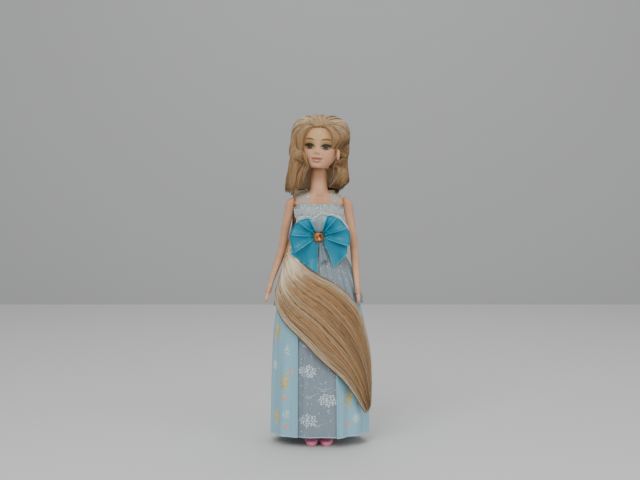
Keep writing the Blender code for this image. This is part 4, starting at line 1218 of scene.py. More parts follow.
@dataclass
class Head(Maker):
    """The soft head with its face.

    Attributes:
        chin_z: Height of the chin.
        height: From the chin to the top of the scalp.
        half_width: Half its width.
        front: From the neck's axis to the face.
        back: From the neck's axis to the back of the head.
        wall: Thickness of its wall.
        pivot_z: Height of the neck joint, which it is turned and leant about.
        yaw: Its turn to its own right, in degrees.
        roll: Its lean, in degrees.
        roundness: 2 for oval sections, more for squarer ones.
        grid: Faces round it and up it.
        ear_place: Middle of the left ear in the head's own frame.
        ear_size: Half the ear's thickness, width and height.
        ear_turn: How far the ear stands off, in degrees.
    """

    chin_z: float = 0.2500
    height: float = 0.0425
    half_width: float = 0.0163
    front: float = 0.0160
    back: float = 0.0170
    wall: float = 0.0017
    pivot_z: float = 0.2515
    yaw: float = -9.0
    roll: float = 3.5
    roundness: float = 2.15
    grid: tuple[int, int] = (220, 200)
    ear_place: Row = (0.0180, -0.0084, 0.2630)
    ear_size: Row = (0.0016, 0.0027, 0.0048)
    ear_turn: float = 22.0

    # row, height, half width, front, back, from the neck opening up
    OUTLINE = [
        (0, 0.061, 0.448, 0.44, 0.44), (1, 0.014, 0.466, 0.6, 0.506), (2, 0, 0.454, 0.775, 0.541),
        (3, 0.014, 0.509, 0.875, 0.588), (4, 0.061, 0.626, 0.931, 0.676), (5, 0.118, 0.748, 0.95, 0.765),
        (6, 0.179, 0.84, 0.956, 0.835), (7, 0.247, 0.914, 0.95, 0.894), (8, 0.318, 0.963, 0.938, 0.941),
        (9, 0.388, 0.994, 0.925, 0.976), (10, 0.466, 1, 0.931, 1), (11, 0.553, 1, 0.969, 1),
        (12, 0.647, 0.988, 0.988, 0.988), (13, 0.741, 0.93, 0.945, 0.93), (14, 0.835, 0.8, 0.82, 0.82),
        (15, 0.913, 0.61, 0.63, 0.64), (16, 0.969, 0.37, 0.38, 0.41), (17, 0.993, 0.17, 0.17, 0.2),
        (18, 1.0, 0.0, 0.0, 0.0),
    ]
    # sideways, height, spread sideways, spread upwards, outwards in millimetres; sides are mirrored
    FEATURES = [
        (0, 0.485, 0.085, 0.085, 0.7), (0, 0.405, 0.085, 0.055, 1.0), (0, 0.345, 0.115, 0.042, 2.15),
        (0.115, 0.322, 0.06, 0.026, 0.75), (0, 0.262, 0.05, 0.03, -0.25), (0.11, 0.228, 0.16, 0.026, 0.85),
        (0, 0.158, 0.21, 0.034, 1.15), (0, 0.104, 0.22, 0.028, -0.55), (0, 0.045, 0.25, 0.055, 0.85),
        (0.31, 0.2, 0.055, 0.03, -0.35), (0.44, 0.47, 0.21, 0.062, -1.25), (0.45, 0.462, 0.16, 0.046, 0.95),
        (0.42, 0.61, 0.27, 0.05, 0.3), (0.6, 0.33, 0.26, 0.09, 0.5),
    ]

    def turned(self, point: Vector, back: bool = False) -> Vector:
        """Turns a point between the head's own frame and how the head is held.

        Args:
            point: The point.
            back: Whether it goes back to the head's own frame.

        Returns:
            The turned point.
        """
        pivot = Vector((0, 0, self.pivot_z))
        turn = Matrix.Rotation(math.radians(self.yaw), 3, "Z") @ Matrix.Rotation(math.radians(self.roll), 3, "Y")
        return pivot + (turn.transposed() if back else turn) @ (point - pivot)

    def relief(self, x: float, z: float) -> float:
        """How far the face stands out at a place.

        Args:
            x: The place, sideways.
            z: Its height.

        Returns:
            The relief in metres.
        """
        side = abs(x) / self.half_width
        up = (z - self.chin_z) / self.height
        out = 0.0
        for across, high, wide, tall, depth in self.FEATURES:
            weight = bump(across, wide, side)
            if across:
                weight += bump(-across, wide, side)
            out += depth * weight * bump(high, tall, up)
        mouth = 0.196 + 0.03 * side * side * 4
        out -= 0.55 * bump(mouth, 0.0095, up) * (1 - ease(0.27, 0.36, side))
        eyelid = 0.523 - 1.1 * (side - 0.45) ** 2
        out -= 0.22 * bump(eyelid, 0.008, up) * bump(0.45, 0.2, side)
        return out * 0.001

    def own_point(self, u: float, v: float) -> Vector:
        """A point of the head's outside in its own frame.

        Args:
            u: Turn round the head, from 0 to 1.
            v: From 0 at the neck opening to 1 at the crown.

        Returns:
            The point.
        """
        height, width, front, back = read_rows(self.OUTLINE, v * (len(self.OUTLINE) - 1))
        z = self.chin_z + height * self.height
        angle = math.tau * u
        x, y = oval(angle, width * self.half_width, front * self.front, back * self.back, self.roundness)
        under_chin = 0.12
        if y < 0 and v > under_chin:
            y -= self.relief(x, z) * ease(0, self.front / 2, -y) * ease(under_chin, 0.18, v)
        return Vector((x, y, z))

    def build(self) -> list[Piece]:
        """Builds the head and its ears.

        Returns:
            The pieces.
        """
        head = grid_piece("head", *self.grid, lambda u, v: self.turned(self.own_point(u, v)), wrap=True)
        face = head.data.uv_layers.new(name="Face")
        own = [self.turned(vertex.co, back=True) for vertex in head.data.vertices]
        for loop in head.data.loops:
            point = own[loop.vertex_index]
            face.data[loop.index].uv = (point.x * 1000, (point.z - self.chin_z) * 1000)
        float_attribute(head, "front", [1.0 if point.y < 0 else 0.0 for point in own])
        head.data.uv_layers["UVMap"].active = True
        thicken(head, self.wall, -1)
        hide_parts("head_shell")
        dress(smooth(head), self.finishes.face, "skin_vinyl")
        pieces = [head, *(self.ear(side) for side in Side)]
        for piece in pieces:
            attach(piece, Body.HEAD.value)
        return pieces

    def ear(self, side: Side) -> Piece:
        """One ear: a shell with a rim round its hollow.

        Args:
            side: Its side.

        Returns:
            The ear.
        """
        bpy.ops.object.select_all(action="DESELECT")
        bpy.ops.mesh.primitive_uv_sphere_add(segments=40, ring_count=28, radius=1)
        ear = named("ear_" + side.word)
        thick, wide, tall = self.ear_size
        turn = Matrix.Rotation(math.radians(self.ear_turn), 3, "Z")
        out, back, up = self.ear_place
        for vertex in ear.data.vertices:
            x, y, z = vertex.co
            across = wide * (1 - 0.28 * ease(0.1, -0.9, z))
            hollow = 0.75 * math.exp(-((y + 0.1) / 0.45) ** 2 - ((z - 0.12) / 0.55) ** 2) * ease(0.1, 0.5, x)
            fold = 0.16 * bump(0.35, 0.16, math.hypot(y - 0.1, z * 0.75)) * ease(0, 0.5, x)
            place = turn @ Vector(((x - hollow + fold) * thick, y * across + 0.0006 * z, z * tall))
            vertex.co = self.turned(Vector((side.value * (out + place.x), back + place.y, up + place.z)))
        return dress(smooth(face_out(ear)), self.finishes.skin)


@dataclass
class BodyParts(Maker):
    """Torso, neck, arms, legs and shoes, softened from their solids.

    Attributes:
        round_z: Height over which the shoulders are rounded off.
        arm_flat: Where across the arm the rounding starts.
        arm_width: How far across it goes.
        hand_z: Height under which the hand is widened.
        finger_z: Height under which the fingers are widened.
        neck_roundness: 2 for oval sections of the neck, more for squarer ones.
    """

    round_z: float = 0.2150
    arm_flat: float = 0.0217
    arm_width: float = 0.0088
    hand_z: float = 0.1420
    finger_z: float = 0.1372
    neck_roundness: float = 2.1

    # kind of part: face size, softening passes, ending of the piece's name, slot
    PARTS = {
        "torso": (0.00055, 3, "_shell", "skin_vinyl"),
        "arm": (0.00032, 6, "_skin", "skin_vinyl"),
        "leg": (0.0006, 5, "_skin", "skin_vinyl"),
        "shoe": (0.00028, 4, "_pump", "pink_vinyl"),
    }
    # height, half width, front, back of the neck
    NECK = [
        (0.2252, 0.0132, 0.0072, 0.0076), (0.2272, 0.0106, 0.0072, 0.0076), (0.2290, 0.0087, 0.0072, 0.0076),
        (0.2310, 0.0078, 0.0071, 0.0075), (0.2345, 0.0073, 0.0069, 0.0073), (0.2400, 0.0071, 0.0067, 0.0071),
        (0.2480, 0.0069, 0.0066, 0.0069), (0.2570, 0.0064, 0.0062, 0.0064),
    ]

    def build(self) -> list[Piece]:
        """Builds them all.

        Returns:
            The pieces.
        """
        pieces = [self.part(half, self.finishes.skin, Body.TORSO) for half in ("torso_front", "torso_back")]
        pieces.append(self.neck())
        for side in Side:
            leg = Body("leg_" + side.word)
            arm = self.part("arm_" + side.word, self.finishes.skin, Body("arm_" + side.word))
            self.round_shoulder(arm)
            self.widen_hand(arm)
            pieces += [arm, self.part(leg.value, self.finishes.skin, leg)]
            pieces.append(self.part("shoe_" + side.word, self.finishes.pink, leg))
        block = dress(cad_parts["hip_block"], self.finishes.nylon)
        block.modifiers.new("whole", "WELD").merge_threshold = 0.00001
        edge = block.modifiers.new("soft edges", "BEVEL")
        edge.width = 0.0002
        edge.segments = 2
        return pieces

    def part(self, node: str, material: Material, body: Body) -> Piece:
        """Makes one softened part.

        Args:
            node: Its solid, whose name starts with the kind of part.
            material: Its material.
            body: What it rides on.

        Returns:
            The piece.
        """
        voxel, passes, ending, slot = self.PARTS[node.split("_")[0]]
        made = dress(remeshed(node, node + ending, voxel, passes), material, slot)
        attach(made, body.value)
        return made

    def neck(self) -> Piece:
        """The neck, which widens into the shoulders.

        Returns:
            The neck.
        """

        def place(u: float, v: float) -> Vector:
            """A point of the neck, from its foot up."""
            z = mix(self.NECK[0][0], self.NECK[-1][0], v)
            return Vector((*oval(math.tau * u, *read_rows(self.NECK, z), self.neck_roundness), z))

        made = close_ends(grid_piece("neck", 90, 70, place, wrap=True))
        # painted shade under the chin: the number "under" rises from 0 to 1 towards the top of the neck
        float_attribute(made, "under", [ease(0.2335, 0.2430, vertex.co.z) for vertex in made.data.vertices])
        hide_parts("neck_post")
        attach(made, Body.TORSO.value)
        return dress(made, self.finishes.skin, "skin_vinyl")

    def widen_hand(self, arm: Piece) -> None:
        """Widens the hand about the middle of the arm at each height.

        Args:
            arm: The arm.
        """
        middles: dict[int, list[float]] = {}
        for vertex in arm.data.vertices:
            middles.setdefault(round(vertex.co.z * 1000), []).append(vertex.co.x)
        for vertex in arm.data.vertices:
            near = middles[round(vertex.co.z * 1000)]
            middle = (min(near) + max(near)) / 2
            wider = 1 + 0.30 * (1 - ease(self.hand_z, self.hand_z + 0.008, vertex.co.z))
            wider += 0.85 * (1 - ease(self.finger_z, self.finger_z + 0.0025, vertex.co.z))
            vertex.co.x = middle + (vertex.co.x - middle) * wider

    def round_shoulder(self, arm: Piece) -> None:
        """Rounds the top of an arm off towards its outer side.

        Args:
            arm: The arm.
        """
        for vertex in arm.data.vertices:
            over = vertex.co.z - self.round_z
            if over > 0:
                across = clamp((abs(vertex.co.x) - self.arm_flat) / self.arm_width)
                vertex.co.z = self.round_z + over * math.sqrt(1 - 0.92 * across**2.2)


# Surfaces that gown and hair lie on

WAIST_Z = 0.1776
HEM_Z = 0.0095
HEM_HALF_WIDTH = 0.0460
HEM_HALF_DEPTH = 0.0320
SKIRT_ROUNDNESS = 2.1
# angles of the two edges of the skirt's opening, in degrees
OPENING_RIGHT = 244.6
OPENING_LEFT = 289.0
# drop, half width, half depth
SKIRT_ROWS = [
    (0, 0.352, 0.338), (0.033, 0.422, 0.444), (0.075, 0.513, 0.537), (0.164, 0.657, 0.669),
    (0.253, 0.765, 0.769), (0.402, 0.891, 0.875), (0.58, 0.94, 0.925), (0.79, 0.978, 0.968), (1, 1, 1),
]

TORSO_BOTTOM_Z = 0.135
TORSO_TOP_Z = 0.2285
TORSO_HALF_WIDTH = 0.0205
TORSO_FRONT = 0.0120
TORSO_BACK = 0.0110
TORSO_ROUNDNESS = 2.3
# half the width between the arms, which the torso is flattened to
TORSO_FLAT = 0.0213
# sideways, height, spread and depth of the bust
BUST = (0.0085, 0.2035, 0.0062, 0.0055)
# height, half width, front, back, all as shares
TORSO_ROWS = [
    (0, 0.244, 0.25, 0.3), (0.043, 0.6, 0.7, 0.855), (0.118, 0.941, 0.983, 1.2), (0.182, 1, 1, 1.273),
    (0.267, 0.961, 0.933, 1.182), (0.374, 0.81, 0.842, 0.909), (0.46, 0.737, 0.8, 0.764),
    (0.588, 0.82, 0.917, 0.836), (0.66, 0.9, 0.94, 0.88), (0.694, 0.938, 0.95, 0.905),
    (0.727, 0.971, 0.95, 0.927), (0.75, 0.98, 0.93, 0.927), (0.778, 0.986, 0.9, 0.924),
    (0.813, 0.995, 0.858, 0.918), (0.855, 1.07, 0.78, 0.88), (0.893, 1.2, 0.7, 0.836),
    (0.939, 1.1, 0.62, 0.75), (0.967, 0.86, 0.59, 0.69), (0.984, 0.59, 0.58, 0.66), (1, 0.361, 0.58, 0.64),
]


def bend_with_legs(piece: Piece) -> Piece:
    """Bakes a piece's place into its mesh; it is not made to hang from the torso or swing with the legs."""
    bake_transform(piece)
    return piece


def skirt_sizes(z: float) -> tuple[float, float, float]:
    """Sizes of the skirt at a height.

    Args:
        z: The height.

    Returns:
        Half its width, half its depth, and the drop from 0 at the waist to 1 at the hem.
    """
    drop = (WAIST_Z - z) / (WAIST_Z - HEM_Z)
    width, depth = read_rows(SKIRT_ROWS, drop)
    return width * HEM_HALF_WIDTH, depth * HEM_HALF_DEPTH, drop


def skirt_place(degrees: float, z: float, lift: float = 0.0) -> Vector:
    """A point of the skirt's cloth.

    Args:
        degrees: Angle round the skirt.
        z: Height.
        lift: Distance over the cloth.

    Returns:
        The point.
    """
    angle = math.radians(degrees)
    width, depth, drop = skirt_sizes(z)
    fold = math.cos(11 * angle + 0.9) * 0.7 + math.cos(5 * angle) * 0.3
    scale = 1 + 0.045 * ease(0.1, 1, drop) * (fold - 1)
    x, y = oval(angle, width, depth, depth * mix(1, 1.07, drop), SKIRT_ROUNDNESS)
    pleat = 0.00042 * math.cos(52 * angle + 2.2 * math.sin(5 * angle)) * (1 - ease(0.03, 0.22, drop))
    pleat += 0.00028 * math.cos(31 * angle + 3 * math.sin(4 * angle) + 5 * drop) * ease(0.03, 0.2, drop)
    out = Vector((x / width**2, y / depth**2, 0)).normalized()
    return Vector((x * scale, y * scale, z)) + out * (lift + pleat)


def skirt_angle(x: float, z: float) -> float:
    """The angle round the skirt of a place seen from the front.

    Args:
        x: The place, sideways.
        z: Its height.

    Returns:
        The angle in degrees.
    """
    share = clamp(x / (skirt_sizes(z)[0] * 0.985), -0.999, 0.999)
    return 360 - math.degrees(math.acos(signed_power(share, 1.05)))


def torso_sizes(z: float) -> list[float]:
    """Half width, front and back of the torso at a height."""
    width, front, back = read_rows(TORSO_ROWS, (z - TORSO_BOTTOM_Z) / (TORSO_TOP_Z - TORSO_BOTTOM_Z))
    return [width * TORSO_HALF_WIDTH, front * TORSO_FRONT, back * TORSO_BACK]


def torso_place(degrees: float, z: float, lift: float = 0.0) -> Vector:
    """A point of the torso's surface.

    Args:
        degrees: Angle round the torso.
        z: Height.
        lift: Distance over the surface.

    Returns:
        The point.
    """
    x, y = oval(math.radians(degrees), *torso_sizes(z), TORSO_ROUNDNESS)
    if y < 0:
        bust_x, bust_z, spread, depth = BUST
        across, up = (abs(x) - bust_x) / spread, (z - bust_z) / spread
        y -= depth * math.exp(-across * across - up * up) * ease(0, TORSO_FRONT / 2, -y)
    x = clamp(x, -TORSO_FLAT, TORSO_FLAT)
    out = Vector((x / TORSO_HALF_WIDTH**2, y / TORSO_FRONT**2, 0)).normalized()
    return Vector((x, y, z)) + out * lift


# Hair


@dataclass
class Lock:
    """One tapered lock of hair.

    Attributes:
        points: Its middle line.
        outs: The outward direction at each point.
        width: Half its width.
        thickness: Half its thickness.
        shades: From dark to light at each point.
        tip: Width of its end as a share.
    """

    points: list[Vector]
    outs: list[Vector]
    width: float
    thickness: float
    shades: list[float]
    tip: float


def build_locks(name: str, locks: Sequence[Lock], seed: int, material: Material) -> Piece:
    """Joins many locks into one piece: each is a flattened tube of four sides with closed ends.

    Args:
        name: The piece's name.
        locks: The locks.
        seed: Seeds the shift of each lock's strands.
        material: The finish.

    Returns:
        The piece, with a UV map in metres and the number "shade".
    """
    chance = random.Random(seed)
    points, faces, coords, shades = [], [], [], []
    for lock in locks:
        base = len(points)
        count = len(lock.points)
        shift = (chance.random(), chance.random())
        along = 0.0
        for i, place in enumerate(lock.points):
            way = lock.points[min(i + 1, count - 1)] - lock.points[max(i - 1, 0)]
            across = way.cross(lock.outs[i]).normalized()
            out = across.cross(way).normalized()
            v = i / (count - 1)
            taper = mix(0.55, 1, ease(0, 0.15, v)) * mix(1, lock.tip, ease(0.55, 1, v) ** 1.3)
            half, thick = lock.width * taper, lock.thickness * taper
            for x, y in ((-1, 0), (0, 1), (1, 0), (0, -1)):
                points.append(place + across * half * x + out * thick * y)
                coords.append((shift[0] + half * x, shift[1] + along))
                shades.append(lock.shades[i])
            if i:
                low = base + 4 * (i - 1)
                for k in range(4):
                    a, b = low + k, low + (k + 1) % 4
                    faces.append((a, b, b + 4, a + 4))
                along += (place - lock.points[i - 1]).length
        end = base + 4 * (count - 1)
        faces += [(base + 3, base + 2, base + 1, base), (end, end + 1, end + 2, end + 3)]
    made = mesh_piece(name, points, faces)
    layer = made.data.uv_layers.new(name="UVMap")
    for loop in made.data.loops:
        layer.data[loop.index].uv = coords[loop.vertex_index]
    float_attribute(made, "shade", shades)
    return dress(smooth(face_out(made)), material, "blonde_hair")


def hair_form(name: str, voxel: float, passes: dict[str, int]) -> Piece:
    """Joins softened copies of the hair's solids into the form that locks lie on.

    Args:
        name: The form's name.
        voxel: Size of its faces, in metres.
        passes: Number of softening passes for each node.

    Returns:
        The form.
    """
    form = join(name, [remeshed(node, node + "_form", voxel, count) for node, count in passes.items()])
    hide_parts(*passes)
    return form


def comb_form(form: Piece, material: Material, along: Row, across: Row, shades: Iterable[float]) -> None:
    """Gives a hair form its strands and shades.

    Args:
        form: The form.
        material: The finish.
        along: The strands' direction.
        across: The direction across them.
        shades: From dark to light, for each point.
    """
    layer = form.data.uv_layers.get("UVMap") or form.data.uv_layers.new(name="UVMap")
    for loop in form.data.loops:
        point = form.data.vertices[loop.vertex_index].co
        layer.data[loop.index].uv = (point.dot(Vector(across)), point.dot(Vector(along)))
    float_attribute(form, "shade", shades)
    dress(form, material, "blonde_hair")


def form_tree(*forms: Piece) -> BVHTree:
    """The surface of some forms together, to lay locks on.

    Args:
        forms: The forms.

    Returns:
        The surface.
    """
    points, faces = [], []
    for form in forms:
        start = len(points)
        faces += [tuple(start + i for i in face.vertices) for face in form.data.polygons]
        points += [vertex.co.copy() for vertex in form.data.vertices]
    return BVHTree.FromPolygons(points, faces)


@dataclass
class HeadHair(Maker):
    """Hair on the scalp and down to the shoulders, which turns with the head.

    Attributes:
        head: The head it grows on.
        locks: Number of locks over the crown.
        wisps: Number of loose hairs.
        bottom_z: Height of its ends.
        top_z: Height of the hairline over the forehead.
        base_z: Height of the hairline's ends at the temples.
        opening: Half the hairline's width.
        front_left: How far round to the front it hangs on the doll's left, in degrees.
        front_right: The same on the doll's right.
        fall: Half width, front and back of the ring of its ends.
        fall_roundness: 2 for an oval ring of ends, more for a squarer one.
        rim: How much the form is thinned at the hairline.
        steps: Points of a lock.
        over: Share of a lock's way that it runs over the head.
        centre_z: Height of the middle of the scalp.
        outside: A distance from the middle that is outside all hair.
        scalp: A distance from the middle to start from where no form is met.
    """

    head: Head
    locks: int = 680
    wisps: int = 130
    bottom_z: float = 0.2300
    top_z: float = 0.2895
    base_z: float = 0.26778
    opening: float = 0.0148
    front_left: float = 58.0
    front_right: float = 63.0
    fall: Row = (0.0258, 0.0180, 0.0230)
    fall_roundness: float = 2.15
    rim: float = 0.0028
    steps: int = 17
    over: float = 0.62
    centre_z: float = 0.2720
    outside: float = 0.06
    scalp: float = 0.0185

    def shade(self, point: Vector) -> float:
        """Painted light and shade on the hair: lighter towards the crown and on the doll's outer right side, painted
        shade near the neck and over the lower ends on the doll's left.

        Args:
            point: A place.

        Returns:
            From 0 for dark to 1 for light.
        """
        # painted light: lighter towards the crown and on the doll's outer right side
        shade = mix(0.50, 0.64, ease(0.266, 0.293, point.z))
        shade += 0.05 * bump(-0.023, 0.006, point.x) * ease(0.240, 0.262, point.z)
        # painted shade near the neck, inside the hair
        if point.y < 0.012:
            inner = 1 - ease(0.011, 0.022, abs(point.x))
            shade -= 0.16 * inner * (1 - ease(0.252, 0.270, point.z))
        # painted shade over the lower ends on the doll's left
        if point.x > 0.006:
            shade -= 0.26 * (1 - ease(0.234, 0.248, point.z))
        return max(0.06, shade)

    def centre(self, z: float) -> Vector:
        """The middle that the hair lies round at a height.

        Args:
            z: The height.

        Returns:
            The middle.
        """
        low = 1 - ease(0.230, 0.2585, z)
        lean = max(0.0, z - self.head.pivot_z) * math.sin(math.radians(self.head.roll))
        return Vector((lean - 0.0012 * low, 0.0005, min(z, self.centre_z)))

    def start(self, a: float) -> Vector:
        """A root on the hairline.

        Args:
            a: Where: from 0 at the left temple to pi at the right one.

        Returns:
            The root.
        """
        x = self.opening * signed_power(math.cos(a), 0.8)
        z = self.base_z + (self.top_z - self.base_z) * max(0.0, math.sin(a)) ** 0.9
        inside = max(0.05, 1 - (abs(x) / 0.0175) ** 2)
        return self.head.turned(Vector((x, -0.0165 * math.sqrt(inside), z)))

    def end(self, a: float) -> Vector:
        """Where a lock from the hairline ends over the shoulders.

        Args:
            a: Where on the hairline it starts.

        Returns:
            Its end.
        """
        share = a / math.pi
        beta = math.radians(mix(-self.front_left, 180 + self.front_right, share))
        x, y = oval(beta, *self.fall, self.fall_roundness)
        rise = 0.0065 * ease(0.93, 1.0, share) - 0.0018 * bump(0.74, 0.12, share)
        rise += 0.0025 * (1 - ease(0, 0.12, share))
        rise -= 0.0075 * ease(0.22, 0.36, share) * (1 - ease(0.62, 0.74, share))
        return Vector((x - 0.0012, y, self.bottom_z + rise))

    def build(self) -> list[Piece]:
        """Builds the form, the locks over it and the loose hairs.

        Returns:
            The pieces.
        """
        base = hair_form("head_hair_base", 0.0005, {"hair_cap": 6, "hair_curtain": 4})
        skin = bpy.data.objects["head"]
        self.press_rim(base)
        self.tuck_temple(base, form_tree(skin))
        shades = []
        # painted light: the form's inward-facing side, which lies in shade, is painted lighter
        for vertex in base.data.vertices:
            inner = -vertex.normal.dot((vertex.co - self.centre(vertex.co.z)).normalized())
            shades.append(mix(0.9 * self.shade(vertex.co), 0.82, ease(0.3, 0.8, inner)))
        comb_form(base, self.finishes.hair, (0, 0.3, 1), (1, 0.6, 0), shades)
        tree = form_tree(base, skin)
        for vertex in base.data.vertices:
            way = (vertex.co - self.centre(vertex.co.z)).normalized()
            vertex.co += self.curl(vertex.co.z, way)
        chance = random.Random(11)
        locks = [self.crown_lock(tree, chance, i / (self.locks - 1)) for i in range(self.locks)]
        wisps = [self.wisp(tree, chance) for _ in range(self.wisps)]
        pieces = [
            base,
            build_locks("head_hair_locks", locks, 5, self.finishes.hair),
            build_locks("head_hair_wisps", wisps, 6, self.finishes.wisp),
        ]
        for piece in pieces:
            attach(piece, Body.HEAD.value)
        return pieces

    def tuck_temple(self, base: Piece, skin: BVHTree) -> None:
        """Tucks the form under the skin round the doll's left ear, where locks are combed back over it.

        Args:
            base: The form.
            skin: The head's surface.
        """
        for vertex in base.data.vertices:
            share = ease(0.003, -0.004, vertex.co.y) * (1 - ease(0.2640, 0.2780, vertex.co.z))
            if share > 0 and vertex.co.x > 0 and vertex.co.z > self.head.chin_z:
                middle = self.centre(vertex.co.z)
                way = (vertex.co - middle).normalized()
                hit = skin.ray_cast(middle + way * self.outside, -way, self.outside)[0]
                if hit is not None:
                    vertex.co = vertex.co.lerp(hit - way * 0.0008, share)

    def press_rim(self, base: Piece) -> None:
        """Thins the form towards the hairline, so that its edge lies on the skin.

        Args:
            base: The form.
        """
        count = 160
        line = KDTree(count)
        for i in range(count):
            line.insert(self.start(math.pi * i / (count - 1)), i)
        line.balance()
        for vertex in base.data.vertices:
            near = 1 - ease(0.0004, 0.0060, line.find(vertex.co)[2])
            if near > 0 and vertex.co.y < 0:
                vertex.co -= (vertex.co - self.centre(vertex.co.z)).normalized() * self.rim * near

    def curl(self, z: float, way: Vector) -> Vector:
        """How far the ends on the doll's left turn under.

        Args:
            z: The height.
            way: The direction outwards.

        Returns:
            The shift.
        """
        share = (1 - ease(0.2305, 0.2385, z)) * ease(0.25, 0.8, way.x)
        return (Vector((0, 0, 0.0014)) - way * 0.0062) * share

    def path(self, a: float, back: float, chance: random.Random) -> list[Vector]:
        """A line over the head from the hairline to the shoulders.

        Args:
            a: Where on the hairline it starts.
            back: How far along its way the root is, from 0 to 1.
            chance: Random numbers.

        Returns:
            Points near the hair's surface, not yet on it.
        """
        middle = self.centre(self.centre_z)
        first, last = self.start(a), self.end(clamp(a + chance.uniform(-0.06, 0.06), 0.0, math.pi))
        turn = Vector((last.x, max(last.y, 0.0015) if last.x > 0 else last.y, 0.2600))
        one, two = first - middle, turn - middle
        one_way, two_way = one.normalized(), two.normalized()
        line = []
        for i in range(self.steps):
            t = mix(back, 1, i / (self.steps - 1))
            if t < self.over:
                way = one_way.slerp(two_way, t / self.over, one_way)
                line.append(middle + way * mix(one.length, two.length, t / self.over))
            else:
                line.append(turn.lerp(last, (t - self.over) / (1 - self.over)))
        return line

    def laid(self, tree: BVHTree, point: Vector, lift: float, far: float) -> tuple[Vector, Vector, float]:
        """Lays a point on the outside of the form.

        Args:
            tree: The form's surface.
            point: The point.
            lift: Distance over the form.
            far: Distance from the middle to use where there is no form.

        Returns:
            The place, the outward direction and the distance from the middle.
        """
        middle = self.centre(point.z)
        way = (point - middle).normalized()
        hit = tree.ray_cast(middle + way * self.outside, -way, self.outside)[0]
        if hit is not None and (hit - middle).length > 0.010:
            far = (hit - middle).length
        else:
            far = mix(far, (point - middle).length, 0.35)
        return middle + way * (far + lift), way, far

    def crown_lock(self, tree: BVHTree, chance: random.Random, share: float) -> Lock:
        """One lock from the hairline or the crown down to the shoulders.

        Args:
            tree: The form's surface.
            chance: Random numbers.
            share: Where it starts, from 0 at the left temple to 1 at the right one.

        Returns:
            The lock.
        """
        a = math.pi * (share - 0.07 * math.sin(math.tau * share))
        back = 0.0 if chance.random() < 0.45 else chance.uniform(0, 0.75)
        raw = self.path(a, back, chance)
        lift = chance.uniform(-0.0002, 0.0007)
        end = chance.uniform(-0.0012, 0.0014)
        wave, phase = chance.uniform(0, 0.0005), chance.uniform(0, math.tau)
        tone = chance.uniform(-0.10, 0.10)
        points, outs, shades = [], [], []
        far = self.scalp
        for i, point in enumerate(raw):
            v = i / (len(raw) - 1)
            grown = 1.0 if back else ease(-0.01, 0.04, v)
            rise = mix(0.0002, lift + wave * math.sin(phase + 9 * v) + 0.0003, grown)
            place, way, far = self.laid(tree, point, rise, far)
            low = 1 - ease(0.232, 0.262, place.z)
            flare = ease(0.25, 0.8, abs(way.x))
            if way.x > 0.25:
                place += way * flare * (0.0010 * low + 0.0016 * bump(0.262, 0.009, place.z))
                place += self.curl(place.z, way)
            elif way.x < -0.25:
                place += way * (0.0010 * low + 0.0028 * flare * bump(0.262, 0.010, place.z))
            place.z += end * v * v
            points.append(place)
            outs.append(way)
            shades.append(clamp(self.shade(place) + tone))
        return Lock(points, outs, chance.uniform(0.0007, 0.0015), chance.uniform(0.0002, 0.0004), shades, 0.2)

    def wisp(self, tree: BVHTree, chance: random.Random) -> Lock:
        """One loose hair that stands a little off the crown or the sides.

        Args:
            tree: The form's surface.
            chance: Random numbers.

        Returns:
            The hair.
        """
        a = math.pi * chance.random()
        raw = self.path(a, chance.uniform(0.0, 0.5), chance)
        lift = chance.uniform(0.0006, 0.0022)
        cut = chance.randint(9, len(raw))
        points, outs = [], []
        far = self.scalp
        phase = chance.uniform(0, math.tau)
        for i, point in enumerate(raw[:cut]):
            v = i / (cut - 1)
            rise = lift * math.sin(math.pi * min(1, v * 0.9 + 0.05)) + 0.0004 * math.sin(phase + 7 * v)
            place, way, far = self.laid(tree, point, rise, far)
            points.append(place)
            outs.append(way)
        return Lock(points, outs, 0.00013, 0.00008, [0.85] * cut, 0.4)


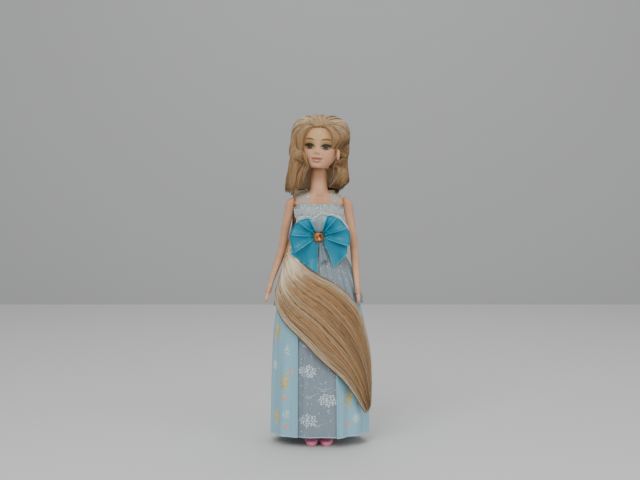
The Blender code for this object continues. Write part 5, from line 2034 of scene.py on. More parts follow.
@dataclass
class LongHair(Maker):
    """The long hair behind the right arm and forwards across the skirt.

    Attributes:
        shoulder_z: Height of the shoulder.
        arm_drop: How far under the shoulder the arm's table reaches.
        arm_spread: Its spread beside the arm.
        thickness: Its thickness.
        clearance: Its distance over the skirt.
        locks: Number of locks.
        wisps: Number of loose hairs.
        steps: Points of a lock.
    """

    shoulder_z: float = 0.2185
    arm_drop: float = 0.0895
    arm_spread: float = 0.0217 * 2.12
    thickness: float = 0.0040
    clearance: float = 0.0036
    locks: int = 380
    wisps: int = 110
    steps: int = 22

    # row, upper edge x, y, z, lower edge x, y, z, then how far it lies on the skirt
    PATH = [
        (0, -0.5, 0.35, 1.293, 0.4, 0.45, 1.293, 0), (1, -0.5, 0.4, 1.233, 0.26, 0.56, 1.188, 0),
        (2, -0.5, 0.43, 1.171, 0, 0.6, 1.092, 0), (3, -0.5, 0.42, 1.132, -0.32, 0.57, 1.025, 0),
        (4, -0.5, 0.375, 1.104, -0.565, 0.45, 0.98, 0), (5, -0.513, 0, 1.07, -0.648, 0.031, 0.935, 0),
        (6, -0.511, -0.406, 1.008, -0.761, -0.375, 0.833, 0),
        (7, -0.38, -0.656, 0.935, -0.848, -0.484, 0.755, 0.6),
        (8, -0.043, -0.781, 0.878, -0.696, -0.75, 0.653, 1), (9, 0.359, -0.766, 0.822, -0.304, -1.031, 0.552, 1),
        (10, 0.739, -0.531, 0.715, 0.065, -1.125, 0.45, 1), (11, 0.902, -0.5, 0.591, 0.413, -1.094, 0.366, 1),
        (12, 0.989, -0.375, 0.462, 0.652, -1, 0.282, 1), (13, 1.011, -0.375, 0.327, 0.804, -0.875, 0.214, 1),
        (14, 1, -0.438, 0.214, 0.891, -0.781, 0.175, 1),
    ]
    LAST = 14
    # drop below the shoulder as a share of the arm, then how far the right arm leans out
    LEAN = [
        (0, 0), (0.061, 0.026), (0.134, 0.077), (0.279, 0.18), (0.38, 0.243), (0.464, 0.295), (0.581, 0.427),
        (0.693, 0.575), (0.771, 0.674), (0.816, 0.726), (0.894, 0.803),
    ]

    def place(self, x: float, y: float, z: float) -> Vector:
        """A point of the hair from its shares.

        Args:
            x: Sideways, of the spread at its height.
            y: Backwards, of the skirt's depth.
            z: Upwards, of the waist's height.

        Returns:
            The point.
        """
        height = z * WAIST_Z
        leaning = read_rows(self.LEAN, (self.shoulder_z - height) / self.arm_drop)[0] / self.LEAN[-1][1]
        return Vector((x * mix(self.arm_spread, HEM_HALF_WIDTH, leaning), y * HEM_HALF_DEPTH, height))

    def middle(self, t: float, across: float) -> Vector:
        """A point of its middle layer.

        Args:
            t: Where along it, as a row of the path.
            across: From 0 at its upper edge to 1 at its lower one.

        Returns:
            The point.
        """
        row = read_rows(self.PATH, t)
        point = self.place(*row[:3]).lerp(self.place(*row[3:6]), across)
        lies = clamp(row[6])
        if lies > 0:
            out = self.clearance + self.thickness / 2
            width, depth = skirt_sizes(min(point.z, WAIST_Z))[:2]
            reach = min(0.985, abs(point.x) / (width + out))
            front = (depth + out) * (1 - reach**SKIRT_ROUNDNESS) ** (1 / SKIRT_ROUNDNESS)
            point.y = mix(point.y, -front, lies)
        return point

    def surface(self, t: float, across: float, lift: float) -> tuple[Vector, Vector]:
        """A point over its outside.

        Args:
            t: Where along it.
            across: Where across it.
            lift: Distance over it.

        Returns:
            The point and the outward direction there.
        """
        step = 0.02
        point = self.middle(t, across)
        along = self.middle(min(self.LAST, t + step * 5), across) - self.middle(max(0, t - step * 5), across)
        wide = self.middle(t, min(1, across + step)) - self.middle(t, max(0, across - step))
        out = along.cross(wide).normalized()
        if out.dot(Vector((point.x, point.y, 0))) < 0:
            out = -out
        edge = 1 - abs(2 * across - 1) ** 3
        half = mix(0.12, 0.5, edge) * self.thickness
        return point + out * (half + lift), out

    def shade(self, t: float, across: float) -> float:
        """Painted light and shade on the long hair: a painted highlight half way along near its upper edge, a lighter
        upper edge near its end, and painted shade behind the shoulder, along its lower edge and towards its end.

        Args:
            t: Where along it.
            across: Where across it.

        Returns:
            From 0 for dark to 1 for light.
        """
        # painted light and shade, not the fibre's own colour
        shade = 0.46
        shade += 0.46 * bump(6.6, 0.95, t) * (1 - 0.25 * across)
        shade -= 0.08 * ease(0.9, 1.0, across) * ease(6.5, 8.0, t)
        shade -= 0.10 * bump(9.6, 1.6, t) * bump(0.3, 0.3, across)
        shade += 0.12 * (1 - ease(0.0, 0.2, across)) * ease(11, 13, t)
        shade -= 0.10 * ease(8.5, 12, t)
        shade -= 0.2 * (1 - ease(4.5, 6.0, t))
        return shade

    def lock(self, chance: random.Random, first: float, last: float, across: float, lift: float) -> Lock:
        """One lock along the hair.

        Args:
            chance: Random numbers.
            first: Where it starts.
            last: Where it ends.
            across: Where it lies across the hair.
            lift: Distance over the form.

        Returns:
            The lock.
        """
        drift = chance.uniform(-0.09, 0.09)
        wave, phase = chance.uniform(0, 0.016), chance.uniform(0, math.tau)
        tone = chance.uniform(-0.10, 0.10)
        points, outs, shades = [], [], []
        for i in range(self.steps):
            v = i / (self.steps - 1)
            t = mix(first, last, v)
            side = clamp(across + drift * (v - 0.5) + wave * math.sin(phase + 7 * v), 0.015, 0.985)
            point, out = self.surface(min(self.LAST, t), side, lift)
            if t > self.LAST:
                way = (self.middle(self.LAST, side) - self.middle(self.LAST - 0.5, side)).normalized()
                point += way * (t - self.LAST) * 0.010
            points.append(point)
            outs.append(out)
            shades.append(clamp(self.shade(t, side) + tone))
        return Lock(points, outs, chance.uniform(0.0007, 0.0017), chance.uniform(0.0002, 0.0004), shades, 0.12)

    def build(self) -> list[Piece]:
        """Builds the form, the locks over it and the loose hairs.

        Returns:
            The pieces.
        """
        base = hair_form("long_hair_base", 0.00066, {"hair_fall": 3, "hair_sweep": 3})
        shades = []
        # painted light: a painted highlight on the doll's right about the hips, and the top, which lies in shade behind
        # the shoulder, painted lighter
        for vertex in base.data.vertices:
            x, z = vertex.co.x, vertex.co.z
            bright = bump(-0.026, 0.010, x) * bump(0.158, 0.025, z)
            shades.append(0.36 + 0.35 * bright + 0.45 * ease(0.195, 0.215, z))
        comb_form(base, self.finishes.hair, (0.75, 0, -0.65), (0.65, 0.2, 0.75), shades)
        chance = random.Random(23)
        locks, wisps = [], []
        for i in range(self.locks):
            across = (i + chance.random()) / self.locks
            first = 0.05 if chance.random() < 0.3 else chance.uniform(0.05, 9)
            last = chance.uniform(12.2, 14.15) if first < 6 or chance.random() < 0.7 else first + chance.uniform(3, 5)
            locks.append(self.lock(chance, first, min(14.15, last), across, chance.uniform(-0.0002, 0.0006)))
        combed = build_locks("long_hair_locks", locks, 7, self.finishes.hair)
        for _ in range(self.wisps):
            across = chance.choice((chance.uniform(0, 0.06), chance.uniform(0.94, 1), chance.random()))
            first = chance.uniform(5, 11)
            last = min(14.6, first + chance.uniform(3, 6))
            wisp = self.lock(chance, first, last, across, chance.uniform(0.0004, 0.0012))
            wisp.width, wisp.thickness = 0.00015, 0.00008
            wisp.shades = [0.85] * len(wisp.shades)
            wisps.append(wisp)
        loose = build_locks("long_hair_wisps", wisps, 8, self.finishes.wisp)
        return [bend_with_legs(piece) for piece in (base, combed, loose)]


# Gown


@dataclass
class Bodice(Maker):
    """The fitted top: glitter cloth, the lace band over it, the straps and the fastening at the back.

    Attributes:
        top_z: Height of the lace band's lower edge.
        lace_z: Height of its upper edge at the front.
        dip: How much lower the upper edge is at the sides.
        near: Distance of the cloth from the body.
        lace_near: Distance of the lace from the body.
        loop_near: Distance of the lace's raised loops from the body.
        loops: Number of the raised loops.
        tape: Thickness of a fastening tape.
        tape_near: Distance of the first tape from the body.
        tape_step: From one tape to the one over it.
    """

    top_z: float = 0.2066
    lace_z: float = 0.2178
    dip: float = 0.0030
    near: float = 0.0007
    lace_near: float = 0.0015
    loop_near: float = 0.00195
    loops: int = 56
    tape: float = 0.0005
    tape_near: float = 0.00155
    tape_step: float = 0.00085

    # inner and outer edge of each strap, sideways
    STRAPS = {Side.LEFT: (0.0100, 0.0196), Side.RIGHT: (0.0086, 0.0200)}

    def build(self) -> list[Piece]:
        """Builds all its pieces.

        Returns:
            The pieces.
        """
        cup = Cloth(
            "bodice_cloth", (220, 60), (0.12, 0.029), 0.0005, self.finishes.glitter, "glitter_cloth", "bodice", True
        )
        pieces = [cup.lay(self.cup_point), *self.lace()]
        pieces += [self.strap(side) for side in Side]
        pieces += self.closure()
        for piece in pieces:
            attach(piece, Body.TORSO.value)
        return pieces

    def cup_point(self, u: float, v: float) -> Vector:
        """A point of the glitter cloth.

        Args:
            u: Turn round the torso, from 0 to 1.
            v: From 0 at the waist to 1 under the lace.

        Returns:
            The point.
        """
        angle = 360 * u
        fold = 0.00014 * math.cos(9 * math.radians(angle) + 40 * v) * bump(0.25, 0.3, v)
        dart = -0.00018 * (bump(247, 2.0, angle) + bump(293, 2.0, angle)) * (1 - v)
        return torso_place(angle, mix(WAIST_Z + 0.0006, self.top_z + 0.0012, v), self.near + fold + dart)

    def lace_height(self, angle: float, share: float) -> float:
        """Height of a place on the lace band, between its scalloped lower edge and its upper one.

        Args:
            angle: Angle round the torso, in degrees.
            share: From 0 at the lower edge to 1 at the upper one.

        Returns:
            The height.
        """
        turn = math.radians(angle)
        low = self.top_z + 0.0008 - 0.0022 * abs(math.sin(turn * 11))
        top = self.lace_z - self.dip * ease(0.5, 0.9, abs(math.cos(turn))) + 0.0002 * math.cos(turn * 40)
        return mix(low, top, share)

    def lace_point(self, u: float, v: float) -> Vector:
        """A point of the lace band.

        Args:
            u: Turn round the torso, from 0 to 1.
            v: From 0 at its lower edge to 1 at its upper one.

        Returns:
            The point.
        """
        angle = 360 * u
        ripple = 0.00016 * math.cos(math.radians(angle) * 28) * (1 - v)
        return torso_place(angle, self.lace_height(angle, v), self.lace_near + ripple)

    def lace(self) -> list[Piece]:
        """The lace band with its corded edges and raised loops.

        Returns:
            The pieces.
        """
        cloth = Cloth(
            "lace_band_cloth", (336, 34), (0.13, 0.011), 0.0004, self.finishes.lace, "silver_lace", "lace_band", True
        )
        band = cloth.lay(self.lace_point)
        low = cord_ring("lace_lower_cord", [self.lace_point(i / 336, 0) for i in range(336)], 0.00034, True)
        top = cord_ring("lace_upper_cord", [self.lace_point(i / 240, 1) for i in range(240)], 0.00026, True)
        rings = []
        for k in range(self.loops):
            centre = 360 * (k + 0.5) / self.loops
            ring = []
            for i in range(10):
                turn = math.tau * i / 10
                z = self.lace_height(centre, 0.5 + 0.3 * math.sin(turn))
                ring.append(torso_place(centre + 1.9 * math.cos(turn), z, self.loop_near))
            rings.append(cord_ring("loop", ring, 0.00014, True, 1))
        loops = join("lace_loops", rings)
        for edge in (low, loops):
            dress(edge, self.finishes.white_edge)
        return [band, low, dress(top, self.finishes.lace), loops]

    def ridge(self, x: float) -> float:
        """Height of the shoulder's top.

        Args:
            x: The place, sideways.

        Returns:
            The height.
        """
        low, high = 0.2220, TORSO_TOP_Z
        for _ in range(24):
            middle = (low + high) / 2
            low, high = (middle, high) if torso_sizes(middle)[0] > x else (low, middle)
        return low

    def strap_point(self, u: float, v: float, side: Side) -> Vector:
        """A point of a strap.

        Args:
            u: From 0 at its inner edge to 1 at its outer one.
            v: From 0 at its front end to 1 at its back end.
            side: Its side.

        Returns:
            The point.
        """
        travel = mix(-1, 1, v)
        x = mix(*self.STRAPS[side], u)
        z = mix(self.ridge(x), self.lace_z - 0.0040, abs(travel) ** 1.6)
        width, front, back = torso_sizes(z)
        inside = max(0.0, 1 - (x / width) ** TORSO_ROUNDNESS) ** (1 / TORSO_ROUNDNESS)
        y = (back if travel > 0 else -front) * inside
        out = Vector((0, y / TORSO_BACK, 0.25 + (1 - abs(travel)) * 1.6)).normalized()
        point = Vector((x, y, z)) + out * (0.00085 + 0.00016 * math.cos(u * math.tau * 4))
        return Vector((side.value * point.x, point.y, point.z))

    def strap(self, side: Side) -> Piece:
        """One sheer strap over the shoulder.

        Args:
            side: Its side.

        Returns:
            The strap.
        """
        inner, outer = self.STRAPS[side]
        name, node, flat = "strap_cloth_" + side.word, "strap_" + side.word, (outer - inner, 0.045)
        cloth = Cloth(name, (26, 90), flat, 0.00022, self.finishes.strap, "sheer_organza", node)
        piece = cloth.lay(lambda u, v: self.strap_point(u, v, side))
        return declare_sheet(piece, outer - inner + 0.0008, Held.FOLDED, "lace_band_cloth")

    def tape_point(self, u: float, v: float, lift: float, wave: float) -> Vector:
        """A point of a fastening tape, down the middle of the back.

        Args:
            u: From 0 at one edge to 1 at the other.
            v: From 0 at the waist to 1 at the top.
            lift: Distance from the body.
            wave: Height of its waves.

        Returns:
            The point.
        """
        z = mix(WAIST_Z + 0.0011, self.top_z - 0.00055, v)
        return torso_place(90 + mix(-8.4, 8.4, u), z, lift + wave * math.cos(v * math.tau * 6))

    def closure(self) -> list[Piece]:
        """The two fastening tapes and the flap over them.

        Returns:
            The pieces.
        """
        pieces = []
        lift = self.tape_near + self.tape / 2
        for node, material, slot, wave in (
            ("loop_tape", self.finishes.tape, "white_tape", 0.0),
            ("hook_tape", self.finishes.tape, "white_tape", 0.0),
            ("closure_flap", self.finishes.glitter, "glitter_cloth", 0.00008),
        ):
            cloth = Cloth(node + "_cloth", (14, 50), (0.0060, 0.0280), self.tape, material, slot, node)
            pieces.append(cloth.lay(lambda u, v: self.tape_point(u, v, lift, wave)))
            lift += self.tape_step
        return pieces


def edge_rise(edge: float) -> float:
    """How far the satin stands over the skirt's plain surface, so many degrees from the opening."""
    return 0.00135 * (1 - ease(4, 16, edge))


@dataclass
class Skirt(Maker):
    """The gathered satin skirt, open at the front over a grey-blue one with a sheer panel.

    Attributes:
        roll: Height of the roll along the satin's two front edges.
        under_lift: Distance of the grey-blue skirt from the plain surface.
        panel_lift: Distance of the sheer panel from it.
        frill_lift: Distance of the frill from it.
        frill_z: Height of the frill's hem.
        seam_lift: Distance of the waist seam's middle from the body.
        seam_height: Half the seam's height.
        seam_depth: Half the seam's depth.
        hem_v: Where the hem's cord lies, from 0 at the hem to 1 at the waist.
        top_v: Where the cords of the opening end.
        stitch_v: Where the line of stitches lies.
        half_stitch: Half a stitch's length, as a share of the way round.
        stitches: Number of stitches.
    """

    roll: float = 0.0008
    under_lift: float = -0.0004
    panel_lift: float = 0.00045
    frill_lift: float = 0.0026
    frill_z: float = 0.1285
    seam_lift: float = 0.0012
    seam_height: float = 0.0011
    seam_depth: float = 0.0008
    hem_v: float = 0.004
    top_v: float = 0.97
    stitch_v: float = 0.026
    half_stitch: float = 0.0019
    stitches: int = 150

    def build(self) -> list[Piece]:
        """Builds all its pieces.

        Returns:
            The pieces.
        """
        satin = Cloth(
            "satin_skirt", (424, 112), (0.245, 0.172), 0.00045, self.finishes.satin, "blue_satin", "skirt", offset=-1
        )
        under = Cloth(
            "under_skirt_front", (130, 130), (0.056, 0.170), 0.0003, self.finishes.under, "grey_organza", offset=-1
        )
        sheer = Cloth(
            "sheer_panel", (110, 120), (0.050, 0.166), 0.0002, self.finishes.grey_sheer, "grey_organza", "front_panel"
        )
        frill = Cloth("hip_frill", (420, 46), (0.19, 0.049), 0.0002, self.finishes.frill, "glitter_cloth", wrap=True)
        top, lining = "bodice_cloth", "under_skirt_front"
        pieces = [
            declare_sheet(satin.lay(self.satin_point), 0.225, Held.GATHERED, top),
            declare_sheet(under.lay(self.under_point), 0.056, Held.GATHERED, top),
            declare_sheet(sheer.lay(self.panel_point), 0.050, Held.GATHERED, top, lining),
            *self.edges(),
            declare_sheet(frill.lay(self.frill_point), 0.20, Held.GATHERED, top),
            self.waist_seam(),
            *SkirtPrint(self.finishes).build(),
        ]
        return [bend_with_legs(piece) for piece in pieces]

    def satin_point(self, u: float, v: float, lift: float = 0.0) -> Vector:
        """A point of the satin skirt.

        Args:
            u: From 0 at its left edge, round the back, to 1 at its right edge.
            v: From 0 at the hem to 1 at the waist.
            lift: Distance over it.

        Returns:
            The point.
        """
        span = OPENING_RIGHT + 360 - OPENING_LEFT
        edge = min(u, 1 - u) * span
        roll = self.roll * bump(0.6, 1.1, edge) * (1 - ease(0.85, 1, v))
        z = mix(HEM_Z, WAIST_Z - 0.0002, v)
        return skirt_place(OPENING_LEFT + u * span, z, edge_rise(edge) + roll + lift)

    def under_point(self, u: float, v: float) -> Vector:
        """A point of the grey-blue skirt that shows in the opening.

        Args:
            u: From 0 under the satin's right edge to 1 under its left one.
            v: From 0 at the hem to 1 at the waist.

        Returns:
            The point.
        """
        angle = mix(OPENING_RIGHT - 9, OPENING_LEFT + 9, u)
        return skirt_place(angle, mix(HEM_Z + 0.0002, WAIST_Z - 0.0004, v), self.under_lift)

    def panel_point(self, u: float, v: float) -> Vector:
        """A point of the sheer panel.

        Args:
            u: From 0 under the satin's right edge to 1 under its left one.
            v: From 0 at the hem to 1 at the waist.

        Returns:
            The point.
        """
        angle = mix(OPENING_RIGHT - 3, OPENING_LEFT + 3, u)
        soft = 0.00012 * math.cos(u * 19 + 6 * v) + 0.00010 * math.cos(u * 43 + 2)
        return skirt_place(angle, mix(HEM_Z + 0.0010, WAIST_Z - 0.0030, v), self.panel_lift + soft)

    def frill_point(self, u: float, v: float) -> Vector:
        """A point of the short gathered frill over the hips.

        Args:
            u: Turn round it, from 0 to 1.
            v: From 0 at its hem to 1 at the waist.

        Returns:
            The point.
        """
        turn = math.radians(360 * u)
        low = self.frill_z + 0.0028 * math.cos(7 * turn + 0.5) + 0.0012 * math.cos(17 * turn)
        down = 1 - v
        pleat = 0.0007 * math.cos(26 * turn + 1.5 * math.sin(3 * turn)) * (0.35 + down)
        return skirt_place(360 * u, mix(low, WAIST_Z - 0.0010, v), self.frill_lift + pleat + 0.0002 * down)

    def waist_point(self, u: float, v: float) -> Vector:
        """A point of the gathered seam.

        Args:
            u: Turn round the waist, from 0 to 1.
            v: Turn round the seam, from 0 to 1.

        Returns:
            The point.
        """
        across = math.tau * v
        pleat = 0.00018 * math.cos(64 * math.tau * u)
        z = WAIST_Z + 0.0004 + self.seam_height * math.sin(across)
        return torso_place(360 * u, z, self.seam_lift + self.seam_depth * math.cos(across) + pleat)

    def waist_seam(self) -> Piece:
        """The gathered seam at the waist.

        Returns:
            The seam.
        """
        piece = grid_piece("waist_seam", 320, 12, self.waist_point, wrap=True)
        return dress(face_out(merge(scale_uv(piece, (0.10, 0.006)))), self.finishes.satin)

    def edges(self) -> list[Piece]:
        """The turned hem, the edges of the opening and the line of stitches over the hem.

        Returns:
            The pieces.
        """
        hem = cord_ring("satin_hem", [self.satin_point(i / 400, self.hem_v) for i in range(401)], 0.00055)
        panel_hem = cord_ring("panel_hem", [self.panel_point(i / 60, 0.0) for i in range(61)], 0.00045)
        sides = []
        for u in (0.0, 1.0):
            line = [self.satin_point(u, mix(self.hem_v, self.top_v, i / 90), -0.0002) for i in range(91)]
            sides.append(cord_ring("edge", line, 0.00048))
        side = join("opening_edges", sides)
        made = []
        for k in range(self.stitches):
            u = (k + 0.5) / self.stitches
            ends = (u - self.half_stitch, u, u + self.half_stitch)
            line = [self.satin_point(end, self.stitch_v, 0.00012) for end in ends]
            made.append(cord_ring("stitch", line, 0.00012, False, 1))
        stitch = join("hem_stitches", made)
        for seam in (hem, panel_hem, stitch):
            dress(seam, self.finishes.hem)
        return [hem, panel_hem, dress(side, self.finishes.satin), stitch]


@dataclass
class SkirtPrint(Maker):
    """Raised glitter sprigs, petals and arcs on the skirt, in a plain layout of their own.

    Attributes:
        dome: Height of each raised shape.
        sink: How far its rim is sunk into the cloth.
        repeats: Number of each motif round the sides and the back.
    """

    dome: float = 0.00016
    sink: float = 0.00004
    repeats: int = 12

    # sideways and height in millimetres, turn in degrees, as seen from the front
    GOLD = [(-37, 104, 20), (-28, 60, -15), (-39, 27, 60), (27, 44, 15), (37, 64, -20)]
    SILVER = [(-27, 88, 10), (-40, 73, -30), (-28, 30, 20), (35, 26, 25), (28, 84, 0)]
    PETALS = [(-41, 92, 0), (-24, 69, 40), (-31, 45, -30), (-29, 19, 10), (26, 60, 10), (27, 22, -20)]
    # angle round the skirt, height in millimetres, turn, all on the sheer panel
    PANEL_SPRAYS = [(257, 70, 30), (279, 44, 60), (258, 26, 45)]
    PANEL_ARCS = [(259, 50, 10), (275, 56, -20), (268, 24, 15), (281, 92, 5), (254, 96, -15)]

    def build(self) -> list[Piece]:
        """Builds the print in four pieces, one of each colour.

        Returns:
            The pieces.
        """
        gold, silver, petals, white = [], [], [], []
        for angle, z, turn in self.spots(self.GOLD, 0):
            for lean in (-42, 0, 42):
                gold += self.sprig(angle, z, turn + lean)
        for spot in self.spots(self.SILVER, 9):
            silver += self.spray(*spot)
        for spot in self.spots(self.PETALS, 4):
            petals += self.flower(*spot)
        for angle, z, turn in self.PANEL_SPRAYS:
            silver += self.spray(angle, z * 0.001, turn, 38)
        for angle, z, turn in self.PANEL_ARCS:
            white += self.arc(angle, z * 0.001, turn)
        return [
            self.piece("print_gold", gold, self.finishes.gold_glitter),
            self.piece("print_silver", silver, self.finishes.silver_glitter),
            self.piece("print_petals", petals, self.finishes.petal),
            self.piece("print_white", white, self.finishes.white_print),
        ]

    def spots(self, front: Sequence[Row], seed: int) -> list[Row]:
        """Places of a motif: the front ones, and others spread round the sides and the back.

        Args:
            front: The front ones.
            seed: Seeds the others.

        Returns:
            Angle, height and turn of each.
        """
        chance = random.Random(seed)
        found = [(skirt_angle(x * 0.001, z * 0.001), z * 0.001, turn) for x, z, turn in front]
        for k in range(self.repeats):
            angle = mix(4, 168, (k + 0.5) / self.repeats) + chance.uniform(-4, 4)
            z = mix(0.024, 0.118, (k * 5 % self.repeats) / (self.repeats - 1)) + chance.uniform(-0.004, 0.004)
            found.append((angle, z, chance.uniform(-40, 40)))
        return found

    def leaf(self, spot: Row, x: float, y: float, turn: float, long: float, wide: float) -> list[Vector]:
        """One raised leaf.

        Args:
            spot: Angle and height of the motif.
            x: Sideways from its middle.
            y: Upwards from its middle.
            turn: Its direction, in degrees.
            long: Half its length.
            wide: Half its width.

        Returns:
            Its points, the middle one first.
        """
        angle, z = spot
        width = skirt_sizes(z)[0] * 0.85
        cos, sin = math.cos(math.radians(turn)), math.sin(math.radians(turn))
        outline = [(x, y, self.dome)]
        for i in range(8):
            t = math.tau * i / 8
            a, b = long * math.cos(t), wide * math.sin(t) * (1 - 0.35 * math.cos(t))
            outline.append((x + a * cos - b * sin, y + a * sin + b * cos, -self.sink))
        return [
            skirt_place(angle + math.degrees(a / width), z + b, self.over(angle) + rise) for a, b, rise in outline
        ]

    def over(self, angle: float) -> float:
        """How far the outer cloth lies over the skirt's plain surface.

        Args:
            angle: Angle round the skirt, in degrees.

        Returns:
            The distance.
        """
        angle %= 360
        if OPENING_RIGHT < angle < OPENING_LEFT:
            return 0.00065
        return 0.00006 + edge_rise(min(abs(angle - OPENING_LEFT), abs(angle - OPENING_RIGHT)))

    def sprig(self, angle: float, z: float, turn: float) -> list[list[Vector]]:
        """A curved stem with paired leaves.

        Args:
            angle: Its angle round the skirt.
            z: Its height.
            turn: Its turn.

        Returns:
            Its raised shapes.
        """
        shapes = []
        cos, sin = math.cos(math.radians(turn)), math.sin(math.radians(turn))
        for k in range(7):
            t = k / 6 - 0.5
            way = math.radians(90 + turn + 50 * t)
            x = 0.0140 * t * math.cos(way) + 0.0016 * math.sin(t * 5)
            y = 0.0140 * t * math.sin(way)
            for side in (-1, 1):
                off = side * 0.0020 * (1 - abs(t))
                size = 0.0021 * (1.1 - abs(t))
                shapes.append(self.leaf((angle, z), x + off * cos, y + off * sin, 90 + turn + side * 42, size, 0.00078))
            shapes.append(self.leaf((angle, z), x, y, 90 + turn, 0.0009, 0.00030))
        return shapes

    def spray(self, angle: float, z: float, turn: float, count: int = 22) -> list[list[Vector]]:
        """A loose spiral of small leaves.

        Args:
            angle: Its angle round the skirt.
            z: Its height.
            turn: Its turn.
            count: Number of leaves.

        Returns:
            Its raised shapes.
        """
        shapes = []
        for k in range(count):
            way = math.radians(turn + k * 137.5)
            far = 0.00115 * math.sqrt(k)
            size = 0.00072 * (1 - 0.3 * (k % 3) / 2)
            x, y = far * math.cos(way), 0.8 * far * math.sin(way)
            shapes.append(self.leaf((angle, z), x, y, turn + 40 * (k % 4), 1.5 * size, size))
        return shapes

    def flower(self, angle: float, z: float, turn: float) -> list[list[Vector]]:
        """A small flower of five petals.

        Args:
            angle: Its angle round the skirt.
            z: Its height.
            turn: Its turn.

        Returns:
            Its raised shapes.
        """
        shapes = []
        for degrees in (turn + 72 * k for k in range(5)):
            x, y = 0.0017 * math.cos(math.radians(degrees)), 0.0017 * math.sin(math.radians(degrees))
            shapes.append(self.leaf((angle, z), x, y, degrees, 0.0015, 0.0009))
        return shapes

    def arc(self, angle: float, z: float, turn: float) -> list[list[Vector]]:
        """A thin arc of small strokes with drops under it.

        Args:
            angle: Its angle round the skirt.
            z: Its height.
            turn: Its turn.

        Returns:
            Its raised shapes.
        """
        shapes = []
        for k in range(13):
            t = k / 6 - 1
            slope = math.degrees(math.atan2(0.0052 * t, 0.0062)) + turn * 0.2
            shapes.append(self.leaf((angle, z), 0.0062 * t, -0.0026 * (1 - t * t), slope, 0.00062, 0.00014))
        for x, y in ((0, -0.0042), (0.0014, -0.0036), (-0.0014, -0.0036)):
            shapes.append(self.leaf((angle, z), x, y, 90, 0.00055, 0.00028))
        return shapes

    def piece(self, name: str, shapes: Sequence[list[Vector]], material: Material) -> Piece:
        """Joins raised shapes into one piece.

        Args:
            name: The piece's name.
            shapes: The shapes, each with its middle point first.
            material: The finish.

        Returns:
            The piece.
        """
        points, faces = [], []
        for shape in shapes:
            middle = len(points)
            points += shape
            count = len(shape) - 1
            faces += [(middle, middle + 1 + i, middle + 1 + (i + 1) % count) for i in range(count)]
        return dress(smooth(mesh_piece(name, points, faces)), material)


# Bow


